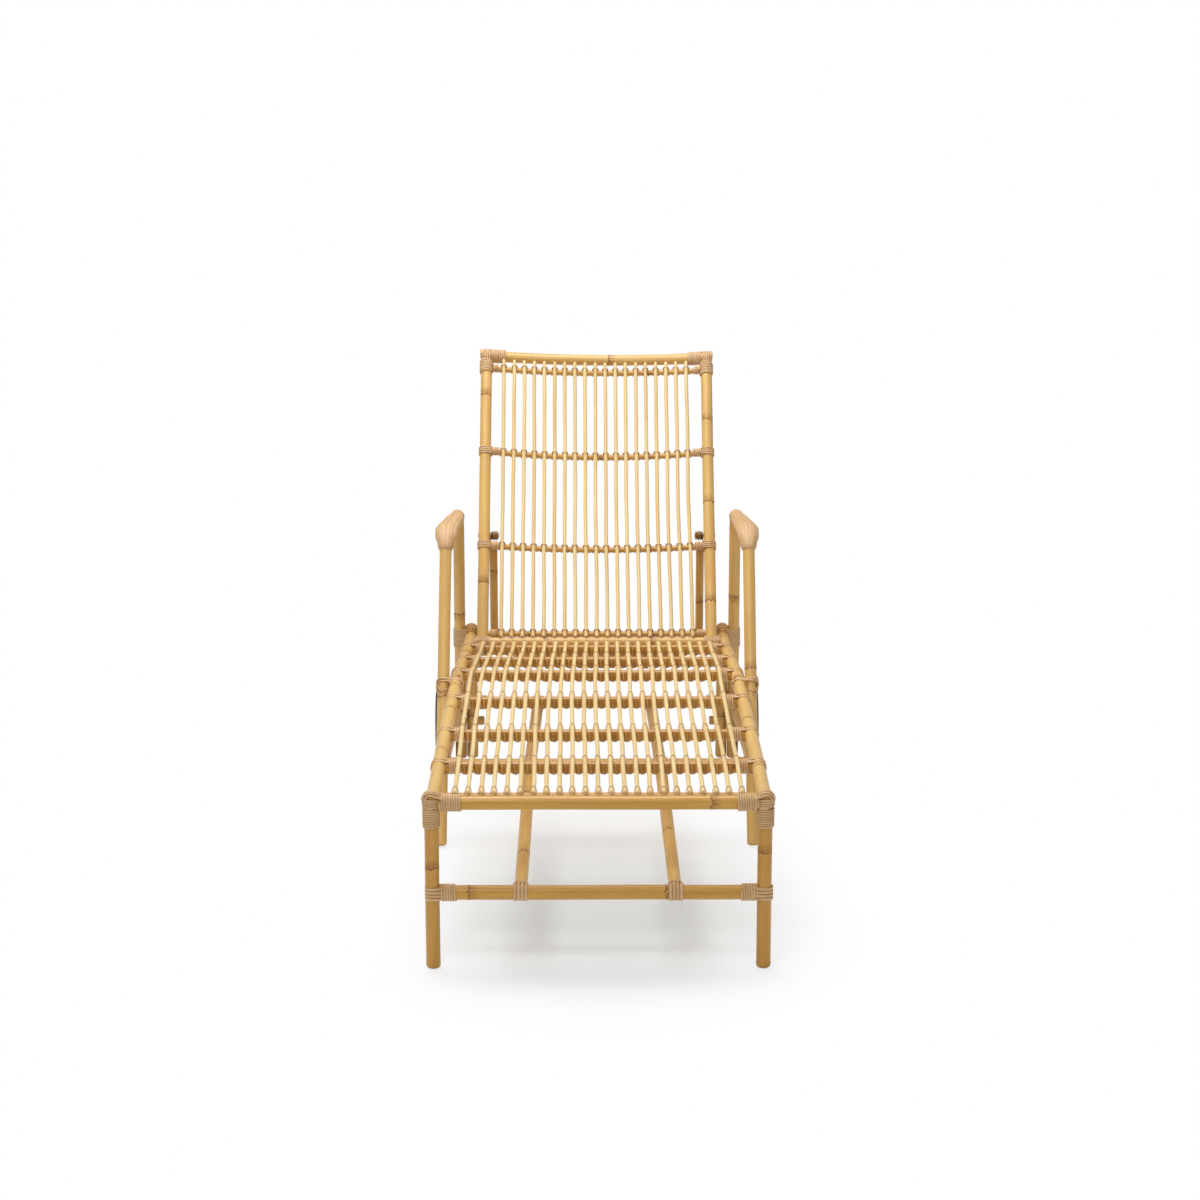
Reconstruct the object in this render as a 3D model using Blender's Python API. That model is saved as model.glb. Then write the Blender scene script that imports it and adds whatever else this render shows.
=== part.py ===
"""Rattan-pole sunbed with a reclining back, arm hoops and two rear wheels.

Metres, +Z up. +Y runs from the foot end to the head end, +X is to the right seen
from the foot end. The origin is on the floor, under the middle of the whole sunbed.
Lengths along the bed are given as distances behind the foot legs.
"""
import math

import bmesh
import bpy
from mathutils import Matrix, Vector

# Clearances
seat_gap = 0.0003
running_gap = 0.0008
lift_off = 0.0006
tie_slack = 0.0021
pair_slack = 0.0013
bow_slack = 0.0004

# Pole and slat diameters
pole_d = 0.028
cross_rail_d = 0.025
slat_d = 0.009
thin_rail_d = 0.014
hinge_pole_d = 0.026
prop_d = 0.020

# Frame: widths are centre distances, distances are behind the foot legs
leg_spacing = 0.660
rail_spacing = 0.651
rail_spacing_at_head = 0.621
rail_taper_start = 0.950
rail_height = 0.347
rail_drop = 0.020
leg_height = 0.366
arm_post_foot_distance = 0.747
arm_post_rake = 0.538
rear_post_distance = 1.400
rear_leg_top = 0.355
rear_foot_lift = 0.012
foot_round = 0.004
foot_cap_height = 0.013
foot_cap_wall = 0.0004

# Lower frame
front_stretcher_height = 0.163
mid_stretcher_height = 0.169
rear_stretcher_height = 0.172
side_stretcher_height = 0.169
brace_spacing_front = 0.306
brace_spacing_mid = 0.286
brace_spacing_rear = 0.268
rear_rail_height = 0.3043

# Arm hoops
arm_front_height = 0.652
arm_rear_height = 0.636
arm_front_bend = 0.070
arm_rear_bend = 0.055
arm_wrap_thickness = 0.0015
arm_pad_front_width = 0.053
arm_pad_rear_width = 0.036

# Seat slats and the cross rails that carry them
seat_slat_count = 23
seat_slat_pitch = 0.0262
seat_slat_start = 0.0235
seat_slat_end = 1.276
cross_rail_sink = 0.007
cross_rail_distances = (0.040, 0.235, 0.485, 0.745, 1.010, 1.122, 1.258)
slat_sink = 0.0006

# Back: distances are along the back from its hinge
hinge_distance = 1.300
hinge_height = 0.3345
recline_deg = 35.0
upright_spacing = 0.558
back_length = 0.786
back_bow = 0.042
back_rail_distances = (0.0235, 0.2515, 0.5045)
back_top_rail_drop = 0.035
back_slat_count = 19
back_slat_pitch = 0.0254
back_slat_overhang_top = 0.0215
back_slat_overhang_bottom = 0.0118
spigot_d = 0.009
spigot_length = 0.010

# Prop behind the back
prop_pivot_distance = 0.283
prop_length = 0.304
prop_leg_inset = 0.0069
prop_bend = 0.074
tongue_thickness = 0.003
tongue_length = 0.034
prop_bolt_d = 0.006
washer_d = 0.020
washer_thickness = 0.0015
tongue_tip_share = 0.9
tongue_foot_share = 0.8
bolt_head_draw = 0.8
bolt_head_d = 0.014
bolt_head_height = 0.004
knob_d = 0.021
knob_length = 0.016
knob_base_d = 0.017
knob_tip_d = 0.015
knob_shoulders = (0.3, 0.6, 0.9)
cleat_spacing = 0.240
cleat_thickness = 0.018
cleat_depth = 0.021
cleat_face_before_bar = 0.052
cleat_face_after_bar = 0.043

# Wheels
wheel_d = 0.216
wheel_width = 0.044
tyre_height = 0.021
tyre_shoulder = 0.005
tyre_crown = 0.001
tyre_wall_draw = 0.003
rim_wall = 0.005
rim_fillet = 0.003
wheel_side_gap = 0.004
axle_d = 0.014
axle_head_d = 0.022
axle_head_length = 0.016
axle_head_chamfer = 0.002
hub_boss_d = 0.046
hub_web = 0.010
axle_cap_d = 0.030
axle_cap_length = 0.008
axle_cap_chamfer = 0.003

# Lashings: one strip wound round the poles at a joint
strip_d = 0.0046
strip_pitch = 0.0053
loop_points = 12
strip_bevel_count = 1
corner_rail_turns = 7
corner_leg_turns = 6
stretcher_turns = 4
back_pole_turns = 5
post_pair_turns = 5
arm_tie_turns = 2

# Facets
pole_bevel_count = 4
slat_bevel_count = 2
wheel_sides = 28

# Worked out from the sizes above
pole_r = pole_d / 2
rail_length = rear_post_distance - pole_r - seat_gap
recline = math.radians(recline_deg)
leg_x = leg_spacing / 2
rail_x_front = rail_spacing / 2
rail_x_rear = rail_spacing_at_head / 2
rear_reach = (hinge_distance + back_length * math.sin(recline)
              + back_bow * math.cos(recline) + pole_r)
front_reach = (pole_r + seat_gap + strip_d) / math.cos(math.pi / loop_points)
foot_y = -(rear_reach - front_reach) / 2
mid_post_x = rail_x_front + pole_d + lift_off
rear_post_x = rail_x_rear + pole_d + lift_off
rear_leg_x = rear_post_x - pole_d - lift_off
axle_height = wheel_d / 2
upright_x = upright_spacing / 2
back_top_rail = back_length - back_top_rail_drop
tongue_x = upright_x - pole_r - seat_gap * 2 - washer_thickness - tongue_thickness / 2
prop_leg_x = tongue_x - prop_leg_inset


def rail_x(distance):
    """Half the distance between the side rails, which draw in towards the head."""
    if distance <= rail_taper_start:
        return rail_x_front
    share = (distance - rail_taper_start) / (rail_length - rail_taper_start)
    return rail_x_front - (rail_x_front - rail_x_rear) * min(share, 1.0) ** 2


def rail_z(distance):
    """Height of the side rails' centre line, which falls a little to the head."""
    return rail_height - rail_drop * distance / rail_length


def bed_point(x, distance, z):
    return Vector((x, foot_y + distance, z))


hinge_point = bed_point(0, hinge_distance, hinge_height)
back_along = Vector((0, math.sin(recline), math.cos(recline)))
back_out = Vector((0, -math.cos(recline), math.sin(recline)))


def back_point(x, along, out=0.0):
    """A point of the back: across, along it from the hinge, and out to its front."""
    return hinge_point + Vector((x, 0, 0)) + back_along * along + back_out * out


def bow_at(x, along):
    """How far the back's rails bow backwards at x, growing towards its top."""
    share = max(0.0, 1 - (x / upright_x) ** 2)
    return back_bow * share * along / back_length


def clear_scene():
    for item in list(bpy.data.objects):
        bpy.data.objects.remove(item, do_unlink=True)


def make_material(name, colour, roughness, metallic=0.0):
    material = bpy.data.materials.new(name)
    material.use_nodes = True
    shader = material.node_tree.nodes["Principled BSDF"]
    shader.inputs["Base Color"].default_value = (*colour, 1.0)
    shader.inputs["Roughness"].default_value = roughness
    shader.inputs["Metallic"].default_value = metallic
    material.diffuse_color = (*colour, 1.0)
    return material


def link(name, data, material):
    item = bpy.data.objects.new(name, data)
    bpy.context.scene.collection.objects.link(item)
    item.data.materials.append(material)
    return item


def pole(name, points, diameter, material, bevel=pole_bevel_count, widths=None):
    """A round pole along points, closed at both ends; widths scale it point by point."""
    curve = bpy.data.curves.new(name, "CURVE")
    curve.dimensions = "3D"
    curve.bevel_depth = diameter / 2
    curve.bevel_resolution = bevel
    curve.use_fill_caps = True
    curve.twist_mode = "MINIMUM"
    spline = curve.splines.new("POLY")
    spline.points.add(len(points) - 1)
    for index, point in enumerate(points):
        spline.points[index].co = (*point, 1.0)
        spline.points[index].radius = widths[index] if widths else 1.0
    spline.use_smooth = True
    return link(name, curve, material)


def as_mesh(item):
    """Turn a curve object into a mesh object of the same name, its ends sewn shut."""
    name = item.name
    material = item.data.materials[0]
    graph = bpy.context.evaluated_depsgraph_get()
    mesh = bpy.data.meshes.new_from_object(item.evaluated_get(graph))
    bpy.data.objects.remove(item, do_unlink=True)
    work = bmesh.new()
    work.from_mesh(mesh)
    bmesh.ops.remove_doubles(work, verts=work.verts, dist=0.00001)
    bmesh.ops.recalc_face_normals(work, faces=work.faces)
    work.to_mesh(mesh)
    work.free()
    mesh.materials.clear()
    made = link(name, mesh, material)
    smooth(made)
    return made


def smooth(item, angle=40):
    item.data.shade_smooth()
    item.data.set_sharp_from_angle(angle=math.radians(angle))


def apply_boolean(item, tool, operation):
    modifier = item.modifiers.new(operation.title(), "BOOLEAN")
    modifier.operation = operation
    modifier.solver = "EXACT"
    modifier.object = tool
    graph = bpy.context.evaluated_depsgraph_get()
    mesh = bpy.data.meshes.new_from_object(item.evaluated_get(graph))
    item.modifiers.clear()
    item.data = mesh
    bpy.data.objects.remove(tool, do_unlink=True)
    smooth(item)
    return item


def turned(name, profile, centre, axis, material, sides=24):
    """A turned solid: profile is (radius, distance along the axis), end to end."""
    work = bmesh.new()
    rows = [work.verts.new((radius, 0, along)) for radius, along in profile]
    edges = [work.edges.new(pair) for pair in zip(rows, rows[1:])]
    bmesh.ops.spin(work, geom=rows + edges, cent=(0, 0, 0), axis=(0, 0, 1),
                   angle=math.tau, steps=sides, use_merge=True)
    bmesh.ops.remove_doubles(work, verts=work.verts, dist=0.00001)
    bmesh.ops.recalc_face_normals(work, faces=work.faces)
    turn = Vector((0, 0, 1)).rotation_difference(Vector(axis)).to_matrix().to_4x4()
    bmesh.ops.transform(work, matrix=Matrix.Translation(centre) @ turn, verts=work.verts)
    mesh = bpy.data.meshes.new(name)
    work.to_mesh(mesh)
    work.free()
    made = link(name, mesh, material)
    smooth(made)
    return made


def drill(item, centre, axis, diameter, length):
    """A round hole of a given length, centred on a point."""
    profile = ((0, -length / 2), (diameter / 2, -length / 2),
               (diameter / 2, length / 2), (0, length / 2))
    tool = turned("drill", profile, centre, axis, item.data.materials[0], sides=16)
    return apply_boolean(item, tool, "DIFFERENCE")


def extruded(name, outline, x_centre, thickness, material):
    """A plate cut to an outline in the Y-Z plane, of a given thickness across X."""
    work = bmesh.new()
    corners = [work.verts.new((x_centre - thickness / 2, y, z)) for y, z in outline]
    face = work.faces.new(corners)
    grown = bmesh.ops.extrude_face_region(work, geom=[face])
    moved = [part for part in grown["geom"] if isinstance(part, bmesh.types.BMVert)]
    bmesh.ops.translate(work, vec=(thickness, 0, 0), verts=moved)
    bmesh.ops.recalc_face_normals(work, faces=work.faces)
    mesh = bpy.data.meshes.new(name)
    work.to_mesh(mesh)
    work.free()
    made = link(name, mesh, material)
    smooth(made)
    return made


def arc(centre, radius, start, end, steps, x=0.0):
    """Points of an arc in the Y-Z plane."""
    points = []
    for step in range(steps + 1):
        angle = start + (end - start) * step / steps
        points.append(Vector((x, centre[0] + radius * math.cos(angle),
                              centre[1] + radius * math.sin(angle))))
    return points


def foot_profile(height):
    """A leg's turned profile: rounded foot, thin foot cap, pole, rounded top."""
    cap_r = pole_r + foot_cap_wall
    top_round = pole_r * 0.6
    rows = [(0, 0), (cap_r - foot_round, 0), (cap_r, foot_round),
            (cap_r, foot_cap_height), (pole_r, foot_cap_height)]
    for step in range(4):
        angle = math.pi / 2 * step / 3
        rows.append((pole_r - top_round + top_round * math.cos(angle),
                     height - top_round + top_round * math.sin(angle)))
    rows.append((0, height))
    return rows


def helix(start, along, side, radius, pitch, turns, points_per_turn):
    """Points of a winding; each end runs straight on for one strip diameter."""
    along = Vector(along).normalized()
    side = Vector(side).normalized()
    third = along.cross(side)
    count = int(turns * points_per_turn)
    points = []
    for step in range(count + 1):
        angle = math.tau * step / points_per_turn
        points.append(Vector(start) + along * (pitch * step / points_per_turn)
                      + (side * math.cos(angle) + third * math.sin(angle)) * radius)
    angle = math.tau * count / points_per_turn
    onward = third * math.cos(angle) - side * math.sin(angle)
    return [points[0] - third * strip_d] + points + [points[-1] + onward * strip_d]


def self_gap(points, turn_points, diameter):
    """The least gap between one turn of a winding and the next ones."""
    least = 1.0
    for index, point in enumerate(points):
        for other in points[index + turn_points - 2:index + turn_points * 2]:
            least = min(least, (point - other).length)
    return least - diameter


def lashing(name, start, along, side, core_r, turns, material):
    """A strip wound side by side round a pole of radius core_r."""
    flat = math.cos(math.pi / loop_points)
    radius = (core_r + seat_gap + strip_d / 2) / flat
    points = helix(start, along, side, radius, strip_pitch, turns, loop_points)
    print(name, "least gap between turns",
          round(self_gap(points, loop_points, strip_d) * 1000, 2), "mm")
    return pole(name, points, strip_d, material, bevel=strip_bevel_count)


def make_legs(cane):
    for side, sign in (("left", -1), ("right", 1)):
        turned(f"front_leg_{side}", foot_profile(leg_height),
               bed_point(sign * leg_x, 0, 0), (0, 0, 1), cane, sides=16)
        leg = turned(f"rear_leg_{side}", foot_profile(rear_leg_top - rear_foot_lift),
                     bed_point(sign * rear_leg_x, rear_post_distance, rear_foot_lift),
                     (0, 0, 1), cane, sides=16)
        drill(leg, bed_point(sign * rear_leg_x, rear_post_distance, axle_height),
              (1, 0, 0), axle_d + 2 * seat_gap, pole_d * 2)


def make_rails(cane):
    reach = leg_x - pole_r - seat_gap
    ends = (bed_point(-reach, 0, rail_height), bed_point(reach, 0, rail_height))
    pole("front_rail", ends, pole_d, cane)
    steps = 7
    for side, sign in (("left", -1), ("right", 1)):
        start = pole_r + seat_gap
        stops = [start, rail_taper_start]
        stops += [rail_taper_start + (rail_length - rail_taper_start) * step / steps
                  for step in range(1, steps)]
        points = [bed_point(sign * rail_x(stop), stop, rail_z(stop)) for stop in stops]
        widths = [1.0] * len(points)
        end_round = 0.010
        for step in range(4):
            angle = math.pi / 2 * step / 3
            stop = rail_length - end_round + end_round * math.sin(angle)
            points.append(bed_point(sign * rail_x(stop), stop, rail_z(stop)))
            widths.append(1 - (1 - math.cos(angle)) * end_round / pole_r)
        rail = as_mesh(pole(f"side_rail_{side}", points, pole_d, cane, widths=widths))
        inner = sign * (rail_x(hinge_distance) - pole_r)
        depth = 2 * (spigot_length + running_gap)
        drill(rail, bed_point(inner, hinge_distance, hinge_height), (1, 0, 0),
              spigot_d + 2 * seat_gap, depth)


def arm_post_y(height):
    """Distance of the arm hoop's raked front post at a height."""
    return arm_post_foot_distance + arm_post_rake * height


def make_arms(cane):
    """Each arm hoop is one pole bent twice: raked front post, arm and rear post."""
    rear = rear_post_distance
    front = arm_post_y(arm_front_height)
    fall = math.atan2(arm_front_height - arm_rear_height, rear - front)
    rake = math.atan(arm_post_rake)
    front_turn = math.pi / 2 - rake + fall
    rear_turn = math.pi / 2 - fall
    front_run = arm_front_bend * math.tan(front_turn / 2)
    rear_run = arm_rear_bend * math.tan(rear_turn / 2)
    bend_y = front - front_run * math.sin(rake)
    bend_z = arm_front_height - front_run * math.cos(rake)
    front_centre = (bend_y + arm_front_bend * math.cos(rake),
                    bend_z - arm_front_bend * math.sin(rake))
    rear_centre = (rear - arm_rear_bend, arm_rear_height - rear_run)
    front_arc = arc(front_centre, arm_front_bend, math.pi - rake, math.pi / 2 - fall, 5)
    rear_arc = arc(rear_centre, arm_rear_bend, math.pi / 2 - fall, 0, 6)
    for side, sign in (("left", -1), ("right", 1)):
        path = [(mid_post_x, arm_post_foot_distance, 0),
                (mid_post_x, arm_post_y(foot_round), foot_round)]
        path += [(mid_post_x, point.y, point.z) for point in front_arc]
        path += [(rear_post_x, point.y, point.z) for point in rear_arc]
        path.append((rear_post_x, rear, rear_foot_lift))
        points = [bed_point(sign * x, distance, z) for x, distance, z in path]
        wrapped = 1 + arm_wrap_thickness / pole_r
        widths = [(pole_r - foot_round / 2) / pole_r] + [1.0] * (len(points) - 1)
        for index in range(3, len(points) - 2):
            widths[index] = wrapped
        hoop = as_mesh(pole(f"arm_hoop_{side}", points, pole_d, cane, widths=widths))
        widen_pad(hoop, points, 2, len(front_arc) - 1, len(rear_arc) - 1)
        level_foot(hoop)
        drill(hoop, bed_point(sign * rear_post_x, rear, axle_height), (1, 0, 0),
              axle_d + 2 * seat_gap, pole_d * 2)


def widen_pad(hoop, points, first, front_steps, rear_steps):
    """Spread the arm's wrapping sideways into a pad, widest at the front bend's end."""
    round_d = pole_d + 2 * arm_wrap_thickness
    spread = {}
    for step in range(front_steps + 1):
        share = math.sin(math.pi / 2 * step / front_steps)
        spread[first + step] = 1 + (arm_pad_front_width / round_d - 1) * share
    for step in range(rear_steps + 1):
        share = math.cos(math.pi / 2 * step / rear_steps)
        spread[first + front_steps + 1 + step] = (
            1 + (arm_pad_rear_width / round_d - 1) * share)
    for vert in hoop.data.vertices:
        index = min(range(len(points)), key=lambda k: (points[k] - vert.co).length)
        middle = points[index].x
        vert.co.x = middle + (vert.co.x - middle) * spread.get(index, 1.0)


def level_foot(item):
    """Cut a raked pole's foot level, flat on the floor."""
    block = pole_d * 4
    work = bmesh.new()
    bmesh.ops.create_cube(work, size=block)
    centre = bed_point(0, arm_post_foot_distance, -block / 2)
    centre.x = sum(corner[0] for corner in item.bound_box) / 8
    bmesh.ops.translate(work, vec=centre, verts=work.verts)
    mesh = bpy.data.meshes.new("floor_cut")
    work.to_mesh(mesh)
    work.free()
    tool = link("floor_cut", mesh, item.data.materials[0])
    apply_boolean(item, tool, "DIFFERENCE")


def make_lower_frame(cane):
    reach = leg_x - pole_r - seat_gap
    ends = [bed_point(sign * reach, 0, front_stretcher_height) for sign in (-1, 1)]
    pole("front_stretcher", ends, pole_d, cane)
    reach = mid_post_x - pole_r - seat_gap
    ends = [bed_point(sign * reach, arm_post_y(mid_stretcher_height), mid_stretcher_height)
            for sign in (-1, 1)]
    pole("mid_stretcher", ends, pole_d, cane)
    reach = rear_leg_x - pole_r - seat_gap
    ends = [bed_point(sign * reach, rear_post_distance, rear_stretcher_height)
            for sign in (-1, 1)]
    pole("rear_stretcher", ends, pole_d, cane)
    ends = [bed_point(sign * reach, rear_post_distance, rear_rail_height)
            for sign in (-1, 1)]
    pole("rear_rail", ends, pole_d, cane)
    mid_y = arm_post_y(mid_stretcher_height)
    clear = pole_r + seat_gap
    rake_clear = clear * math.hypot(1, arm_post_rake) + pole_r * arm_post_rake
    for side, sign in (("left", -1), ("right", 1)):
        front = arm_post_y(side_stretcher_height) + rake_clear
        rear = rear_post_distance - clear
        ends = (bed_point(sign * mid_post_x, front, side_stretcher_height),
                bed_point(sign * rear_post_x, rear, side_stretcher_height))
        pole(f"side_stretcher_{side}", ends, pole_d, cane)
        ends = (bed_point(sign * brace_spacing_front / 2, clear, front_stretcher_height),
                bed_point(sign * brace_spacing_mid / 2, mid_y - clear,
                          mid_stretcher_height))
        pole(f"front_brace_{side}", ends, pole_d, cane)
        ends = (bed_point(sign * brace_spacing_mid / 2, mid_y + clear,
                          mid_stretcher_height),
                bed_point(sign * brace_spacing_rear / 2, rear, rear_stretcher_height))
        pole(f"rear_brace_{side}", ends, pole_d, cane)


def cross_rail(name, distance, cane):
    height = rail_z(distance) - cross_rail_sink
    reach = rail_x(distance + cross_rail_d / 2) - pole_r - seat_gap
    ends = [bed_point(sign * reach, distance, height) for sign in (-1, 1)]
    return pole(name, ends, cross_rail_d, cane)


def join_bodies(items):
    """Put several closed meshes that don't touch into one object, as one tool."""
    work = bmesh.new()
    for item in items:
        work.from_mesh(item.data)
    mesh = bpy.data.meshes.new("tool")
    work.to_mesh(mesh)
    work.free()
    made = link("tool", mesh, items[0].data.materials[0])
    for item in items:
        bpy.data.objects.remove(item, do_unlink=True)
    return made


def make_seat(cane, slat_cane):
    """Slats tied to the first and last cross rails; the rails between are loose."""
    last = len(cross_rail_distances) - 1
    for index, distance in enumerate(cross_rail_distances[1:last]):
        cross_rail(f"seat_rail_{index + 2}", distance, cane)
    rise = cross_rail_d / 2 - cross_rail_sink + slat_d / 2
    slats = []
    for index in range(seat_slat_count):
        x = (index - (seat_slat_count - 1) / 2) * seat_slat_pitch
        ends = [bed_point(x, distance, rail_z(distance) + rise + seat_gap)
                for distance in (seat_slat_start, seat_slat_end)]
        slats.append(as_mesh(pole("slat", ends, slat_d, slat_cane, bevel=slat_bevel_count)))
    seat = join_bodies(slats)
    seat.name = "seat_slats"
    for distance in (cross_rail_distances[0], cross_rail_distances[last]):
        height = rail_z(distance) - cross_rail_sink + seat_gap + slat_sink
        reach = rail_x(distance + cross_rail_d / 2) - pole_r - seat_gap
        ends = [bed_point(sign * reach, distance, height) for sign in (-1, 1)]
        tie = as_mesh(pole("tie", ends, cross_rail_d, slat_cane))
        apply_boolean(seat, tie, "UNION")


def bowed_rail(name, along, half, diameter, material, out=0.0, bevel=pole_bevel_count,
               steps=10):
    points = []
    for step in range(steps + 1):
        x = -half + 2 * half * step / steps
        points.append(back_point(x, along, out - bow_at(x, along)))
    return pole(name, points, diameter, material, bevel=bevel)


def make_back(cane, slat_cane):
    half = upright_x + pole_r
    bowed_rail("back_top_pole", back_length, half, pole_d, cane, steps=12)
    top = back_length - pole_r - seat_gap
    bottom = hinge_pole_d / 2 + seat_gap
    for side, sign in (("left", -1), ("right", 1)):
        ends = (back_point(sign * upright_x, bottom), back_point(sign * upright_x, top))
        upright = as_mesh(pole(f"back_upright_{side}", ends, pole_d, cane))
        drill(upright, back_point(sign * upright_x, prop_pivot_distance), (1, 0, 0),
              prop_bolt_d + 2 * seat_gap, pole_d * 2)
    body = rail_x(hinge_distance + hinge_pole_d / 2) - pole_r - running_gap
    tip = body + spigot_length
    r = hinge_pole_d / 2
    profile = ((0, -tip), (spigot_d / 2, -tip), (spigot_d / 2, -body), (r, -body),
               (r, body), (spigot_d / 2, body), (spigot_d / 2, tip), (0, tip))
    turned("back_hinge_pole", profile, hinge_point, (1, 0, 0), cane, sides=16)
    reach = upright_x - pole_r - seat_gap
    for index in (1, 2):
        bowed_rail(f"back_rail_{index + 1}", back_rail_distances[index], reach,
                   thin_rail_d, cane, bevel=2)
    out = thin_rail_d / 2 + slat_d / 2 + seat_gap
    low = back_rail_distances[0] - back_slat_overhang_bottom
    high = back_top_rail + back_slat_overhang_top
    slats = []
    for index in range(back_slat_count):
        x = (index - (back_slat_count - 1) / 2) * back_slat_pitch
        ends = [back_point(x, along, out - bow_at(x, along)) for along in (low, high)]
        slats.append(as_mesh(pole("slat", ends, slat_d, slat_cane, bevel=slat_bevel_count)))
    back = join_bodies(slats)
    back.name = "back_slats"
    for along in (back_rail_distances[0], back_top_rail):
        tie = bowed_rail("tie", along, reach, thin_rail_d, slat_cane,
                         out=seat_gap + slat_sink, bevel=2)
        apply_boolean(back, as_mesh(tie), "UNION")


def make_prop(cane, knob_wood):
    """The prop is one bent pole, hung from two bolts through the uprights."""
    pivot_y, pivot_z = back_point(0, prop_pivot_distance)[1:]
    bar_z = pivot_z - prop_length
    r = prop_d / 2
    leg_top = pivot_z - tongue_length
    corner_x = prop_leg_x - prop_bend
    path = [(-prop_leg_x, leg_top)]
    for turn_x, start in ((-corner_x, math.pi), (corner_x, math.pi * 1.5)):
        for point in arc((turn_x, bar_z + prop_bend), prop_bend, start,
                         start + math.pi / 2, 5):
            path.append((point.y, point.z))
    path.append((prop_leg_x, leg_top))
    points = [Vector((x, pivot_y, z)) for x, z in path]
    prop = as_mesh(pole("prop_frame", points, prop_d, cane))
    for side, sign in (("left", -1), ("right", 1)):
        outline = arc((pivot_y, pivot_z), r * tongue_tip_share, 0, math.pi, 8)
        outline = [(point.y, point.z) for point in outline]
        foot = r * tongue_foot_share
        outline += [(pivot_y - foot, leg_top - r), (pivot_y + foot, leg_top - r)]
        tongue = extruded("tongue", outline, sign * tongue_x, tongue_thickness, cane)
        apply_boolean(prop, tongue, "UNION")
        drill(prop, (sign * tongue_x, pivot_y, pivot_z), (1, 0, 0),
              prop_bolt_d + 2 * seat_gap, tongue_thickness * 4)
        face = upright_x + pole_r + seat_gap
        inner = tongue_x - tongue_thickness / 2 - seat_gap
        bolt_r = prop_bolt_d / 2
        head_r = bolt_head_d / 2
        knob_start = washer_thickness - inner
        head_end = -face - bolt_head_height
        profile = ((0, head_end), (head_r * bolt_head_draw, head_end), (head_r, -face),
                   (bolt_r, -face), (bolt_r, -inner),
                   (washer_d / 2, -inner), (washer_d / 2, knob_start),
                   (knob_base_d / 2, knob_start),
                   (knob_d / 2, knob_start + knob_length * knob_shoulders[0]),
                   (knob_d / 2, knob_start + knob_length * knob_shoulders[1]),
                   (knob_tip_d / 2, knob_start + knob_length * knob_shoulders[2]),
                   (0, knob_start + knob_length))
        turned(f"prop_bolt_{side}", profile, Vector((0, pivot_y, pivot_z)),
               (-sign, 0, 0), knob_wood, sides=12)
    make_cleats(cane)


def make_cleats(cane):
    """Two cleats under the rear rail. Their faces follow the path of the prop's bar,
    which swings on an arc below the hinge as the back goes down."""
    rail_y = foot_y + rear_post_distance
    path_centre = (hinge_point.y, hinge_height - prop_length)
    face_r = prop_pivot_distance - prop_d / 2 - seat_gap
    bar_angle = math.pi / 2 - recline
    first = bar_angle + cleat_face_before_bar / face_r
    last = bar_angle - cleat_face_after_bar / face_r
    seat = arc((rail_y, rear_rail_height), pole_r + seat_gap,
               math.radians(-130), math.radians(-60), 5)
    face = arc(path_centre, face_r, first, last, 7)
    back = arc(path_centre, face_r - cleat_depth, last, first, 3)
    heel = (face[-1] + back[0]) / 2
    outline = [(point.y, point.z) for point in seat + face + [heel] + back[1:3]]
    for side, sign in (("left", -1), ("right", 1)):
        extruded(f"prop_cleat_{side}", outline, sign * cleat_spacing / 2,
                 cleat_thickness, cane)


def make_wheels(cane, rubber, plastic):
    inner = rear_post_x + pole_r + wheel_side_gap
    outer = inner + wheel_width
    middle = (inner + outer) / 2
    rim_r = wheel_d / 2 - tyre_height
    half = wheel_width / 2
    seat = half - tyre_wall_draw
    tread_r = wheel_d / 2
    edge_r = tread_r - tyre_crown
    shoulder_r = tread_r - tyre_shoulder
    bore_r = axle_d / 2 + running_gap / 2
    tyre = ((rim_r, -seat), (shoulder_r, -half), (edge_r, tyre_shoulder - half),
            (tread_r, 0), (edge_r, half - tyre_shoulder), (shoulder_r, half),
            (rim_r, seat), (rim_r, -seat))
    rim = rim_r - seat_gap
    inside = rim - rim_wall
    web_r = inside - rim_fillet
    boss_r = hub_boss_d / 2
    web = hub_web / 2
    hub = ((bore_r, -half), (boss_r, -half), (boss_r, -web), (web_r, -web),
           (inside, -seat), (rim, -seat), (rim, seat), (inside, seat),
           (web_r, web), (boss_r, web), (boss_r, half), (bore_r, half), (bore_r, -half))
    head_start = rear_leg_x - pole_r - seat_gap
    for side, sign in (("left", -1), ("right", 1)):
        centre = bed_point(0, rear_post_distance, axle_height)
        wheel_centre = centre + Vector((sign * middle, 0, 0))
        turned(f"tyre_{side}", tyre, wheel_centre, (sign, 0, 0), rubber,
               sides=wheel_sides)
        turned(f"wheel_hub_{side}", hub, wheel_centre, (sign, 0, 0), plastic,
               sides=wheel_sides)
        shaft_end = outer + seat_gap + axle_cap_length * 0.5
        head_r = axle_head_d / 2
        head_end = head_start - axle_head_length
        axle = ((0, head_end), (head_r - axle_head_chamfer, head_end),
                (head_r, head_end + axle_head_chamfer), (head_r, head_start),
                (axle_d / 2, head_start), (axle_d / 2, shaft_end), (0, shaft_end))
        turned(f"axle_{side}", axle, centre, (sign, 0, 0), cane, sides=16)
        base = outer + running_gap
        hole_r = axle_d / 2 + seat_gap
        cap_r = axle_cap_d / 2
        cap_end = base + axle_cap_length
        hole_end = shaft_end + seat_gap
        cap = ((hole_r, base), (cap_r, base), (cap_r, cap_end - axle_cap_chamfer),
               (cap_r - axle_cap_chamfer, cap_end), (0, cap_end), (0, hole_end),
               (hole_r, hole_end), (hole_r, base))
        turned(f"axle_cap_{side}", cap, centre, (sign, 0, 0), plastic, sides=16)


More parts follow.
